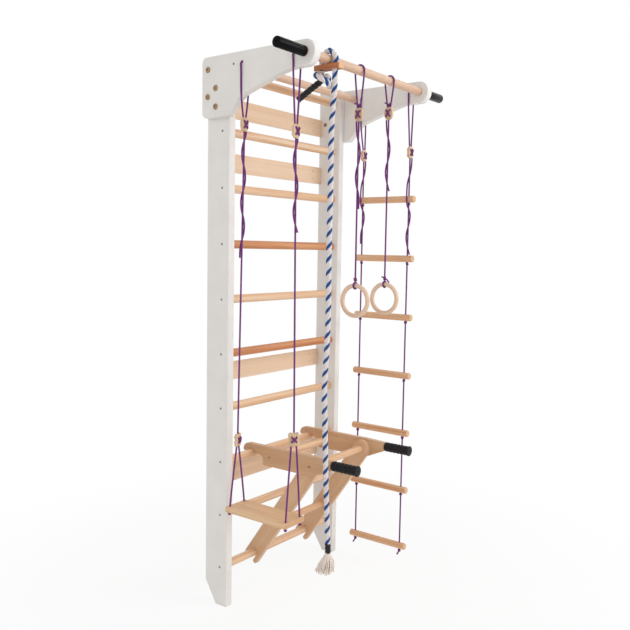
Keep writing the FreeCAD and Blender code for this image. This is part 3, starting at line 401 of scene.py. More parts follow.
def linear(colour: str) -> tuple[float, float, float, float]:
    """Turns an sRGB colour to linear.

    Args:
        colour: The colour, as sRGB hex.

    Returns:
        Its linear red, green and blue, and an alpha of 1.
    """
    parts = [int(colour[place : place + 2], 16) / 255 for place in (1, 3, 5)]
    values = [part / 12.92 if part <= 0.04045 else ((part + 0.055) / 1.055) ** 2.4 for part in parts]
    return values[0], values[1], values[2], 1.0


def add_node(
    tree: bpy.types.NodeTree,
    kind: str,
    settings: dict | None = None,
    values: dict | None = None,
    links: dict | None = None,
    stops: list[tuple[float, str]] | None = None,
) -> bpy.types.Node:
    """Adds a node.

    Args:
        tree: The node tree.
        kind: The node's type, without the ShaderNode that each begins with.
        settings: Its properties.
        values: Its sockets' own values.
        links: The sockets that feed its sockets.
        stops: A colour ramp's places, with their colours as sRGB hex.

    Returns:
        The node.
    """
    node = tree.nodes.new("ShaderNode" + kind)
    for name, value in (settings or {}).items():
        setattr(node, name, value)
    for socket, value in (values or {}).items():
        node.inputs[socket].default_value = value
    for socket, source in (links or {}).items():
        tree.links.new(source, node.inputs[socket])
    if stops:
        elements = node.color_ramp.elements
        while len(elements) < len(stops):
            elements.new(0.5)
        for element, (place, colour) in zip(elements, stops):
            element.position = place
            element.color = linear(colour)
    return node


def new_material(name: str) -> tuple[bpy.types.Material, bpy.types.NodeTree, bpy.types.Node]:
    """Makes a material with a Principled shader on its output.

    Args:
        name: The material's name.

    Returns:
        The material, its node tree and the shader.
    """
    material = bpy.data.materials.new(name)
    material.use_nodes = True
    tree = material.node_tree
    tree.nodes.clear()
    shader = add_node(tree, "BsdfPrincipled")
    add_node(tree, "OutputMaterial", links={"Surface": shader.outputs["BSDF"]})
    return material, tree, shader


def lay_finish(
    tree: bpy.types.NodeTree,
    shader: bpy.types.Node,
    colour: bpy.types.NodeSocket,
    sheen: tuple[bpy.types.NodeSocket, float, float] | None = None,
    relief: tuple[bpy.types.NodeSocket, float, float] | None = None,
) -> None:
    """Lays a finish's colour, sheen and relief on its shader.

    Args:
        tree: The material's node tree.
        shader: Its shader.
        colour: The colour.
        sheen: The pattern that the roughness follows, with the roughness at its 0 and at its 1.
        relief: The pattern that raises the surface, with its strength and its height in metres.
    """
    tree.links.new(colour, shader.inputs["Base Color"])
    if sheen:
        ends = {"To Min": sheen[1], "To Max": sheen[2]}
        rough = add_node(tree, "MapRange", values=ends, links={"Value": sheen[0]})
        tree.links.new(rough.outputs["Result"], shader.inputs["Roughness"])
    if relief:
        sizes = {"Strength": relief[1], "Distance": relief[2]}
        bump = add_node(tree, "Bump", values=sizes, links={"Height": relief[0]})
        tree.links.new(bump.outputs["Normal"], shader.inputs["Normal"])


@dataclass(frozen=True)
class LacqueredWood:
    """Beech, birch or a like wood, planed or turned and sealed with a clear satin lacquer.

    The eye sees pale growth bands that run along the piece, finer streaks in them and short brown flecks.
    The flecks are drawn about twice as wide as beech's own half millimetre, so that they show.
    """

    name: str
    light: str
    middle: str
    dark: str
    grain: Axis = Axis.X
    tilt: float = 0.0
    along_uv: bool = False
    # The colour of the faces square to the grain: end grain, and on the block painted light
    end: str = ""
    fleck: str = "#b98c66"
    band_width: float = 0.018
    streak_width: float = 0.0028
    streak_length: float = 0.22
    fleck_width: float = 0.0011
    fleck_length: float = 0.009
    roughness: float = 0.42

    def scale(self, across: float, along: float) -> tuple[float, float, float]:
        """Turns a feature's real size to a texture's scale.

        Args:
            across: The feature's width.
            along: Its length along the grain.

        Returns:
            Texture cells per metre on each axis.
        """
        result = [1 / across] * 3
        result[self.grain.value] = 1 / along
        return result[0], result[1], result[2]

    def with_end_grain_and_painted_light(self, tree: bpy.types.NodeTree, colour: bpy.types.NodeSocket) -> bpy.types.NodeSocket:
        """Lays a colour on the faces that are square to the grain: end grain, and on the block painted light
        that makes its ends paler.

        Args:
            tree: The material's node tree.
            colour: The colour of the other faces.

        Returns:
            The colour of all the faces.
        """
        facing = add_node(tree, "TexCoord").outputs["Normal"]
        along = add_node(tree, "SeparateXYZ", links={"Vector": facing}).outputs[self.grain.value]
        square = add_node(tree, "Math", {"operation": "ABSOLUTE"}, links={0: along})
        share = add_node(
            tree, "MapRange", values={"From Min": 0.6, "From Max": 0.85},
            links={"Value": square.outputs["Value"]},
        )
        mixed = add_node(tree, "Mix", {"data_type": "RGBA"}, links={0: share.outputs["Result"], 6: colour})
        mixed.inputs[7].default_value = linear(self.end)
        return mixed.outputs[2]

    def make(self) -> bpy.types.Material:
        """Makes the material.

        Returns:
            The material.
        """
        material, tree, shader = new_material(self.name)
        place = add_node(tree, "TexCoord").outputs["UV" if self.along_uv else "Object"]
        if self.tilt:
            place = add_node(
                tree, "Mapping", {"vector_type": "POINT"}, {"Rotation": (self.tilt, 0.0, 0.0)},
                {"Vector": place},
            ).outputs["Vector"]
        layers = {}
        for layer, across, along, detail in (
            ("bands", self.band_width, self.streak_length * 3, 2.0),
            ("streaks", self.streak_width, self.streak_length, 3.0),
            ("flecks", self.fleck_width, self.fleck_length, 1.0),
        ):
            stretched = add_node(
                tree, "Mapping", {"vector_type": "POINT"}, {"Scale": self.scale(across, along)},
                {"Vector": place},
            )
            noise = add_node(
                tree, "TexNoise",
                values={"Scale": 1.0, "Detail": detail, "Roughness": 0.55, "Distortion": 0.4},
                links={"Vector": stretched.outputs["Vector"]},
            )
            layers[layer] = noise.outputs["Fac"]
        mixed = add_node(
            tree, "Mix", {"data_type": "FLOAT"}, {"Factor": 0.38},
            {"A": layers["bands"], "B": layers["streaks"]},
        )
        colour = add_node(
            tree, "ValToRGB", links={"Fac": mixed.outputs["Result"]},
            stops=[(0.34, self.dark), (0.5, self.middle), (0.64, self.light)],
        )
        fleck = add_node(
            tree, "MapRange", values={"From Min": 0.66, "From Max": 0.76, "To Min": 0.0, "To Max": 0.4},
            links={"Value": layers["flecks"]},
        )
        flecked = add_node(
            tree, "Mix", {"data_type": "RGBA", "blend_type": "MULTIPLY"},
            links={0: fleck.outputs["Result"], 6: colour.outputs["Color"]},
        )
        flecked.inputs[7].default_value = linear(self.fleck)
        surface = self.with_end_grain_and_painted_light(tree, flecked.outputs[2]) if self.end else flecked.outputs[2]
        sheen = (layers["streaks"], self.roughness - 0.06, self.roughness + 0.08)
        lay_finish(tree, shader, surface, sheen, (layers["streaks"], 0.12, 0.0003))
        return material


@dataclass(frozen=True)
class PaintedWood:
    """Solid wood with a rolled coat of white water-based paint, satin.

    The eye sees a flat warm white with a soft sheen, in which the roller's texture just shows close up.
    """

    name: str = "white_satin_paint_on_wood"
    colour: str = "#efece8"
    shade: str = "#e9e5e0"
    roller_grain: float = 0.0016
    patch: float = 0.09
    roughness: float = 0.38

    def make(self) -> bpy.types.Material:
        """Makes the material.

        Returns:
            The material.
        """
        material, tree, shader = new_material(self.name)
        place = add_node(tree, "TexCoord").outputs["Object"]
        patches = add_node(
            tree, "TexNoise", values={"Scale": 1 / self.patch, "Detail": 3.0}, links={"Vector": place}
        )
        colour = add_node(
            tree, "ValToRGB", links={"Fac": patches.outputs["Fac"]},
            stops=[(0.3, self.shade), (0.7, self.colour)],
        )
        grain = add_node(
            tree, "TexNoise", values={"Scale": 1 / self.roller_grain, "Detail": 2.0},
            links={"Vector": place},
        )
        sheen = (patches.outputs["Fac"], self.roughness - 0.05, self.roughness + 0.07)
        lay_finish(tree, shader, colour.outputs["Color"], sheen, (grain.outputs["Fac"], 0.1, 0.0002))
        return material


@dataclass(frozen=True)
class BraidedCord:
    """Braided polypropylene cord.

    The eye sees a dull sheen and a fine diamond pattern of plaits, two millimetres long, lighter on their
    crowns than in the gaps between them; the darker gaps are painted shade.
    """

    name: str
    crown: str
    # The colour in the gaps between the plaits, darker as painted shade
    gap: str
    plait: float = 0.002
    slant: float = math.radians(40)
    roughness: float = 0.62
    gloss: float = 0.3
    depth: float = 0.0004

    def make(self) -> bpy.types.Material:
        """Makes the material.

        Returns:
            The material.
        """
        material, tree, shader = new_material(self.name)
        place = add_node(tree, "TexCoord").outputs["UV"]
        crossing = []
        for turn in (self.slant, -self.slant):
            turned = add_node(
                tree, "Mapping", {"vector_type": "POINT"},
                {"Rotation": (0.0, 0.0, turn), "Scale": (1 / self.plait, 1 / self.plait, 1.0)},
                {"Vector": place},
            )
            wave = add_node(
                tree, "TexWave", {"wave_type": "BANDS", "bands_direction": "X"},
                {"Scale": WAVE_UNIT, "Distortion": 0.6, "Detail": 1.0},
                {"Vector": turned.outputs["Vector"]},
            )
            crossing.append(wave.outputs["Fac"])
        plaits = add_node(tree, "Math", {"operation": "MULTIPLY"}, links={0: crossing[0], 1: crossing[1]})
        # The gaps between the plaits take the darker colour: painted shade
        colour = add_node(
            tree, "ValToRGB", links={"Fac": plaits.outputs["Value"]},
            stops=[(0.02, self.gap), (0.45, self.crown)],
        )
        shader.inputs["Roughness"].default_value = self.roughness
        shader.inputs["Specular IOR Level"].default_value = self.gloss
        lay_finish(tree, shader, colour.outputs["Color"], relief=(plaits.outputs["Value"], 0.6, self.depth))
        return material


@dataclass(frozen=True)
class TwistedYarn:
    """One strand of a twisted polypropylene rope: many yarns laid side by side.

    The eye sees fine slanting lines on each strand and a soft satin gleam; the lines are darker in the
    grooves between the yarns, which is painted shade.
    """

    name: str
    colour: str
    # The colour in the grooves between the yarns, darker as painted shade
    groove: str
    yarn: float = 0.0016
    slant: float = math.radians(62)
    roughness: float = 0.55
    gloss: float = 0.35
    depth: float = 0.0005

    def make(self) -> bpy.types.Material:
        """Makes the material.

        Returns:
            The material.
        """
        material, tree, shader = new_material(self.name)
        place = add_node(tree, "TexCoord").outputs["UV"]
        turned = add_node(
            tree, "Mapping", {"vector_type": "POINT"},
            {"Rotation": (0.0, 0.0, self.slant), "Scale": (1 / self.yarn, 1 / self.yarn, 1.0)},
            {"Vector": place},
        )
        wave = add_node(
            tree, "TexWave", {"wave_type": "BANDS", "bands_direction": "X"},
            {"Scale": WAVE_UNIT, "Distortion": 1.2, "Detail": 2.0, "Detail Scale": 1.0},
            {"Vector": turned.outputs["Vector"]},
        )
        # The grooves between the yarns take the darker colour: painted shade
        colour = add_node(
            tree, "ValToRGB", links={"Fac": wave.outputs["Fac"]},
            stops=[(0.05, self.groove), (0.5, self.colour)],
        )
        shader.inputs["Roughness"].default_value = self.roughness
        shader.inputs["Specular IOR Level"].default_value = self.gloss
        lay_finish(tree, shader, colour.outputs["Color"], relief=(wave.outputs["Fac"], 0.5, self.depth))
        return material


@dataclass(frozen=True)
class BlackRubber:
    """Moulded black rubber or PVC.

    The eye sees a deep grey-black with a soft highlight, broken by the mould's fine pitting, and paler
    scuffs about 11 mm across.
    """

    name: str
    colour: str
    scuff: str
    roughness: float
    gloss: float
    scuff_width: float = 1 / 90
    pit: float = 0.0009

    def make(self) -> bpy.types.Material:
        """Makes the material.

        Returns:
            The material.
        """
        material, tree, shader = new_material(self.name)
        place = add_node(tree, "TexCoord").outputs["Object"]
        scuffs = add_node(
            tree, "TexNoise", values={"Scale": 1 / self.scuff_width, "Detail": 4.0}, links={"Vector": place}
        )
        colour = add_node(
            tree, "ValToRGB", links={"Fac": scuffs.outputs["Fac"]},
            stops=[(0.42, self.colour), (0.75, self.scuff)],
        )
        shader.inputs["Specular IOR Level"].default_value = self.gloss
        pits = add_node(
            tree, "TexNoise", values={"Scale": 1 / self.pit, "Detail": 1.0}, links={"Vector": place}
        )
        sheen = (scuffs.outputs["Fac"], self.roughness - 0.08, self.roughness + 0.12)
        lay_finish(tree, shader, colour.outputs["Color"], sheen, (pits.outputs["Fac"], 0.15, 0.0002))
        return material


@dataclass(frozen=True)
class PlatedSteel:
    """Zinc-plated and yellow-passivated steel, as on furniture bolts and chipboard screws.

    The eye sees a dull brassy metal with stains about 4 mm across, darker where the plating is thin.
    """

    name: str
    colour: str
    stain: str
    stain_width: float = 1 / 260
    metallic: float = 0.9
    roughness: float = 0.36

    def make(self) -> bpy.types.Material:
        """Makes the material.

        Returns:
            The material.
        """
        material, tree, shader = new_material(self.name)
        place = add_node(tree, "TexCoord").outputs["Object"]
        stains = add_node(
            tree, "TexNoise", values={"Scale": 1 / self.stain_width, "Detail": 3.0}, links={"Vector": place}
        )
        colour = add_node(
            tree, "ValToRGB", links={"Fac": stains.outputs["Fac"]},
            stops=[(0.35, self.stain), (0.62, self.colour)],
        )
        shader.inputs["Metallic"].default_value = self.metallic
        sheen = (stains.outputs["Fac"], self.roughness - 0.06, self.roughness + 0.14)
        lay_finish(tree, shader, colour.outputs["Color"], sheen)
        return material


@dataclass(frozen=True)
class Finishes:
    """Every finish of the wall bars, made once."""

    paint: bpy.types.Material
    rung: bpy.types.Material
    deep_rung: bpy.types.Material
    bar: bpy.types.Material
    slat: bpy.types.Material
    seat: bpy.types.Material
    ladder_rung: bpy.types.Material
    pale_wood_z: bpy.types.Material
    ring: bpy.types.Material
    dip_arm: bpy.types.Material
    dip_leg: bpy.types.Material
    dip_dowel: bpy.types.Material
    red_wood: bpy.types.Material
    cord: bpy.types.Material
    white_strand: bpy.types.Material
    blue_strand: bpy.types.Material
    tassel: bpy.types.Material
    grip: bpy.types.Material
    dip_grip: bpy.types.Material
    sleeve: bpy.types.Material
    bolt: bpy.types.Material
    screw: bpy.types.Material


def make_finishes() -> Finishes:
    """Makes the finishes.

    Returns:
        The finishes.
    """
    leg_tilt = math.pi / 2 - math.atan2(LEG_RISE, LEG_REACH)
    return Finishes(
        paint=PaintedWood().make(),
        rung=LacqueredWood("lacquered_beech_rung", "#efd0b1", "#e4bb95", "#d6a57a").make(),
        deep_rung=LacqueredWood("lacquered_beech_rung_dark", "#da9c6b", "#c98452", "#b26b3c").make(),
        bar=LacqueredWood("lacquered_beech_bar", "#e1c1a9", "#d6b195", "#caa284").make(),
        slat=LacqueredWood(
            "lacquered_birch_plywood", "#efd5bb", "#eaccae", "#e4c3a2", band_width=0.03, streak_length=0.4
        ).make(),
        seat=LacqueredWood(
            "lacquered_beech_seat", "#ebc8a1", "#e3bb92", "#d8ab80", grain=Axis.Y, end="#d3a379",
            band_width=0.022,
        ).make(),
        ladder_rung=LacqueredWood(
            "lacquered_beech_ladder_rung", "#ebc4a0", "#e0b087", "#d09a6e", grain=Axis.Y, end="#dcae84"
        ).make(),
        pale_wood_z=LacqueredWood(
            "lacquered_beech_small_parts", "#e6cbae", "#d8b692", "#c49f79", grain=Axis.Z, band_width=0.008,
            streak_length=0.06,
        ).make(),
        ring=LacqueredWood(
            "lacquered_bent_beech_ring", "#f3dac4", "#e8c9ae", "#d9b293", along_uv=True, band_width=0.006
        ).make(),
        dip_arm=LacqueredWood(
            "lacquered_beech_dip_arm", "#d6af8a", "#cfa57e", "#c79b74", grain=Axis.Y, band_width=0.035
        ).make(),
        dip_leg=LacqueredWood(
            "lacquered_beech_dip_leg", "#e0bb96", "#d9b18b", "#d1a780", grain=Axis.Z, tilt=leg_tilt,
            band_width=0.035,
        ).make(),
        dip_dowel=LacqueredWood("lacquered_beech_dip_dowel", "#ebc8a5", "#e0b48b", "#d09f74").make(),
        # The block's pale end colour is painted light: its end faces are paler, as where the lamp on the
        # right falls on them
        red_wood=LacqueredWood(
            "lacquered_alder_block", "#cc8858", "#bb744a", "#a46038", grain=Axis.Y, end="#dfae82",
            band_width=0.01, streak_length=0.08,
        ).make(),
        # The cord's second colour is painted shade in the gaps of its braid
        cord=BraidedCord("braided_purple_cord", "#8c4391", "#5e2463").make(),
        # Each strand's second colour is painted shade in the grooves between its yarns
        white_strand=TwistedYarn("white_rope_strand", "#f4eeec", "#d8cdcc").make(),
        blue_strand=TwistedYarn("blue_rope_strand", "#16569c", "#0c3264").make(),
        tassel=TwistedYarn("frayed_white_yarn", "#fdf5ec", "#ead6c4", yarn=0.0012).make(),
        grip=BlackRubber("polished_black_vinyl", "#0c0b0c", "#131113", roughness=0.2, gloss=0.06).make(),
        dip_grip=BlackRubber("moulded_black_rubber", "#161416", "#201d20", roughness=0.4, gloss=0.18).make(),
        sleeve=BlackRubber("shrunk_black_sleeve", "#141214", "#262326", roughness=0.26, gloss=0.3).make(),
        bolt=PlatedSteel("yellow_zinc_bolt", "#b99a78", "#7d6248").make(),
        screw=PlatedSteel("yellow_zinc_screw", "#a89479", "#6e5e48").make(),
    )


def dress(node: str, finish: bpy.types.Material) -> None:
    """Gives a CAD solid that stays its finish.

    Args:
        node: The solid's name.
        finish: Its material.
    """
    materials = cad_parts[node].data.materials
    materials.clear()
    materials.append(finish)
    LOG.info("%s: %s", node, finish.name)


# ---------------------------------------------------------------- cords


@dataclass(frozen=True)
class CordRun:
    """One stretch of the braided cord: its corners, its real length and how it ends."""

    name: str
    corners: list[Vector]
    length: float
    far_end: str = "object"
    lay: str = "taut"

    def make(
        self, finish: bpy.types.Material, body: str, with_pieces: list[bpy.types.Object]
    ) -> bpy.types.Object:
        """Args:
            finish: The cord's material.
            body: The CAD body that it rides on.
            with_pieces: The pieces on it, such as its knots. Not used.

        Returns:
            The cord.
        """
        line = smooth_line(self.corners)
        skin = Skin()
        skin.tube(line, CORD_DIAMETER / 2, sides=12)
        made = skin.piece(self.name, [finish], body, flat_above=SOFT_FORM)
        return made


def knot_line(centre: Vector, turn: float, size: float = 1.0) -> list[Vector]:
    """Draws a small overhand knot.

    Args:
        centre: The knot's middle.
        turn: How far it is turned about the vertical, in radians.
        size: How loose it is: 1 is pulled tight.

    Returns:
        Its closed line.
    """
    spin = Quaternion((0, 0, 1), turn) @ Quaternion((1, 0, 0), KNOT_TILT)
    result = []
    for step in range(KNOT_POINTS):
        angle = 2 * math.pi * step / KNOT_POINTS
        flat = Vector(
            (
                KNOT_SPREAD * (math.sin(angle) + 2 * math.sin(2 * angle)),
                KNOT_SPREAD * (math.cos(angle) - 2 * math.cos(2 * angle)),
                -KNOT_DEPTH * math.sin(3 * angle),
            )
        )
        result.append(centre + spin @ flat * size)
    return result


def knots(
    name: str,
    centres: list[Vector],
    finish: bpy.types.Material,
    body: str,
    size: float = 1.0,
    ends: tuple[tuple[float, float, float], ...] = (),
) -> bpy.types.Object:
    """Makes overhand knots.

    Args:
        name: The piece's name.
        centres: The knots' middles.
        finish: The cord's material.
        body: The CAD body that they ride on.
        size: How loose they are: 1 is pulled tight.
        ends: Where each short free end points to, from the middle of its knot.

    Returns:
        The knots, as one piece.
    """
    skin = Skin()
    for number, centre in enumerate(centres):
        skin.tube(knot_line(centre, number * KNOT_TURN, size), KNOT_CORD_RADIUS, sides=10, closed=True)
        for end in ends:
            tip = Vector(end)
            sag = Vector((0, 0, -tip.length * END_SAG))
            line = smooth_line([centre + tip * 0.15, centre + tip * 0.6 - sag, centre + tip + sag])
            skin.tube(line, LACING_CORD_RADIUS, sides=10)
    made = skin.piece(name, [finish], body, flat_above=SOFT_FORM)
    return made


def tail_corners(top: Vector, bottom: Vector, end_z: float, first_turn: float) -> list[Vector]:
    """Winds the free end of a cord down round its own main cord.

    Args:
        top: The main cord's upper end.
        bottom: The main cord's lower end.
        end_z: The height at which the free end stops.
        first_turn: The side of the main cord on which it starts, as an angle in radians.

    Returns:
        The free end's corners.
    """
    count = int((top.z - TAIL_LEAD - end_z) / TAIL_STEP)
    places = [(0.0, 0)] + [(TAIL_LEAD + quarter * TAIL_STEP, quarter) for quarter in range(count + 1)]
    corners = []
    for fall, quarter in places:
        on_axis = top + (bottom - top) * (fall / (top.z - bottom.z))
        angle = first_turn + math.pi / 2 * quarter
        corners.append(on_axis + Vector((math.cos(angle), math.sin(angle), 0)) * TAIL_RADIUS)
    return corners


def lower_edge_drop(from_wall: float) -> float:
    """Finds a bracket plate's lower edge.

    Args:
        from_wall: How far in front of the wall.

    Returns:
        How far the edge lies below the top there.
    """
    if from_wall >= EDGE_START + EDGE_RUN:
        return NOSE_DROP
    return EDGE_DROP + (from_wall - EDGE_START) / EDGE_RUN * (NOSE_DROP - EDGE_DROP)


def strand_end(adjuster_z: float, gap: float) -> float:
    """Finds where a strand of a loop ends.

    Args:
        adjuster_z: The height of its adjuster's middle.
        gap: How far it stays off the adjuster's round head.

    Returns:
        The height of its end.
    """
    reach = ADJUSTER_HEAD_RADIUS + gap
    inner = STRAND_HALF_GAP - CORD_DIAMETER / 2
    return adjuster_z + ADJUSTER_PIVOT_RISE + math.sqrt(reach**2 - inner**2)


def plate_loop_corners(side: Side, from_wall: float, top_from_wall: float, adjuster_z: float) -> list[Vector]:
    """Lays a cord's loop through a bracket plate, down both its faces to the head of the adjuster.

    Args:
        side: The side of the wall bars.
        from_wall: How far the adjuster lies in front of the wall.
        top_from_wall: How far the plate's hole lies in front of the wall.
        adjuster_z: The height of the adjuster's middle.

    Returns:
        The loop's corners.
    """
    middle = side.value * PLATE_MIDDLE
    stand_off = PLATE_OUTER - PLATE_MIDDLE + CORD_DIAMETER / 2 + CORD_GAP
    edge_z = HEIGHT - lower_edge_drop(top_from_wall) - CORD_DIAMETER
    hole_z = HEIGHT - PLATE_HOLE_DROP
    end_z = strand_end(adjuster_z, CORD_GAP)
    below_hole = hole_z - HOLE_REACH
    bow = stand_off + HOLE_BOW
    return [
        at(middle + STRAND_HALF_GAP, from_wall, end_z),
        at(middle + stand_off, top_from_wall, edge_z),
        at(middle + stand_off, top_from_wall, below_hole),
        at(middle + bow, top_from_wall, hole_z + HOLE_RISE),
        at(middle - bow, top_from_wall, hole_z + HOLE_RISE),
        at(middle - stand_off, top_from_wall, below_hole),
        at(middle - stand_off, top_from_wall, edge_z),
        at(middle - STRAND_HALF_GAP, from_wall, end_z),
    ]


class Outline(Enum):
    """The outline of a small wooden plate: an oval cord adjuster or a waisted toggle."""

    OVAL = 0
    WAISTED = 1

    def reach(self, angle: float) -> tuple[float, float]:
        """Follows the outline.

        Args:
            angle: The angle round the plate, in radians.

        Returns:
            How far across and up it is there, as shares of the plate's half sizes.
        """
        across, up = math.cos(angle), math.sin(angle)
        if self is Outline.OVAL:
            return (
                math.copysign(abs(across) ** OVAL_POWER, across),
                math.copysign(abs(up) ** OVAL_POWER, up),
            )
        out = WAISTED_MEAN - WAISTED_SWELL * math.cos(4 * angle)
        return across * out, up * out


def under_head(local: Vector) -> Vector:
    """Draws a point of an adjuster in to its round head, on which it turns under its loop.

    Args:
        local: The point, from the adjuster's middle.

    Returns:
        The point, on the head or inside it.
    """
    rise = local.z - ADJUSTER_PIVOT_RISE
    reach = math.hypot(local.x, rise)
    if rise <= 0 or reach <= ADJUSTER_HEAD_RADIUS:
        return local
    share = ADJUSTER_HEAD_RADIUS / reach
    return Vector((local.x * share, local.y, ADJUSTER_PIVOT_RISE + rise * share))


def wooden_plate(
    name: str,
    outline: Outline,
    places: list[tuple[Vector, float]],
    size: tuple[float, float],
    finish: bpy.types.Material,
    body: str,
) -> bpy.types.Object:
    """Makes small wooden plates with rounded edges.

    Args:
        name: The piece's name.
        outline: The shape of each plate.
        places: The middle of each plate and its turn about the vertical, in radians.
        size: The plates' width and height.
        finish: The wood's material.
        body: The CAD body that they ride on.

    Returns:
        The plates, as one piece.
    """
    skin = Skin()
    half = ADJUSTER_THICKNESS / 2
    sides = 48
    layers = (
        (-half, 0.90),
        (-half + 0.0008, 0.95),
        (-half + 0.0026, 1.0),
        (half - 0.0026, 1.0),
        (half - 0.0008, 0.95),
        (half, 0.90),
    )
    for centre, turn in places:
        first = len(skin.points)
        spin = Quaternion((0, 0, 1), turn)
        for depth, share in layers:
            for side in range(sides):
                across, up = outline.reach(2 * math.pi * side / sides)
                local = Vector((across * size[0] / 2 * share, depth, up * size[1] / 2 * share))
                if outline is Outline.OVAL:
                    local = under_head(local)
                skin.points.append(centre + spin @ local)
        for ring in range(len(layers) - 1):
            for side in range(sides):
                low, high = first + ring * sides, first + (ring + 1) * sides
                other = (side + 1) % sides
                skin.face((low + side, high + side, high + other, low + other), [(0.0, 0.0)] * 4, 0)
        last = first + (len(layers) - 1) * sides
        skin.face(tuple(first + side for side in range(sides)), [(0.0, 0.0)] * sides, 0)
        skin.face(tuple(last + side for side in reversed(range(sides))), [(0.0, 0.0)] * sides, 0)
    made = skin.piece(name, [finish], body)
    return made


def lacing(
    name: str,
    centre: Vector,
    turn: float,
    half_across: float,
    half_up: float,
    finish: bpy.types.Material,
    body: str,
) -> bpy.types.Object:
    """Makes the cord where it crosses a small wooden plate through its four holes.

    Args:
        name: The piece's name.
        centre: The plate's middle.
        turn: The plate's turn about the vertical, in radians.
        half_across: Half the distance between its holes, across.
        half_up: Half the distance between its holes, up.
        finish: The cord's material.
        body: The CAD body that it rides on.

    Returns:
        The piece.
    """
    spin = Quaternion((0, 0, 1), turn)
    lift = ADJUSTER_THICKNESS / 2 + CORD_DIAMETER / 2
    skin = Skin()
    for front, across in ((-1, -1), (-1, 1), (1, -1), (1, 1)):
        hump = lift + (LACING_HUMP if across > 0 and front < 0 else 0.0)
        start_up, end_up = (half_up, -half_up) if front < 0 else (half_up * across, half_up * across)
        start = (across * half_across, start_up)
        end = (-across * half_across, end_up)
        corners = [
            Vector((start[0], 0.0, start[1])),
            Vector((start[0], front * lift, start[1])),
            Vector((start[0] * 0.45, front * hump, start[1] + (end[1] - start[1]) * 0.275)),
            Vector((end[0] * 0.45, front * hump, start[1] + (end[1] - start[1]) * 0.725)),
            Vector((end[0], front * lift, end[1])),
            Vector((end[0], 0.0, end[1])),
        ]
        line = smooth_line([centre + spin @ corner for corner in corners])
        skin.tube(line, LACING_CORD_RADIUS, sides=10)
    made = skin.piece(name, [finish], body, flat_above=SOFT_FORM)
    return made


# ---------------------------------------------------------------- sub-assemblies


def lying(place: Vector, way: int) -> Matrix:
    """The place of a turned form whose axis runs along X, to the right where way is 1, to the left for -1."""
    return Matrix.Translation(place) @ Quaternion((0, 1, 0), way * math.pi / 2).to_matrix().to_4x4()


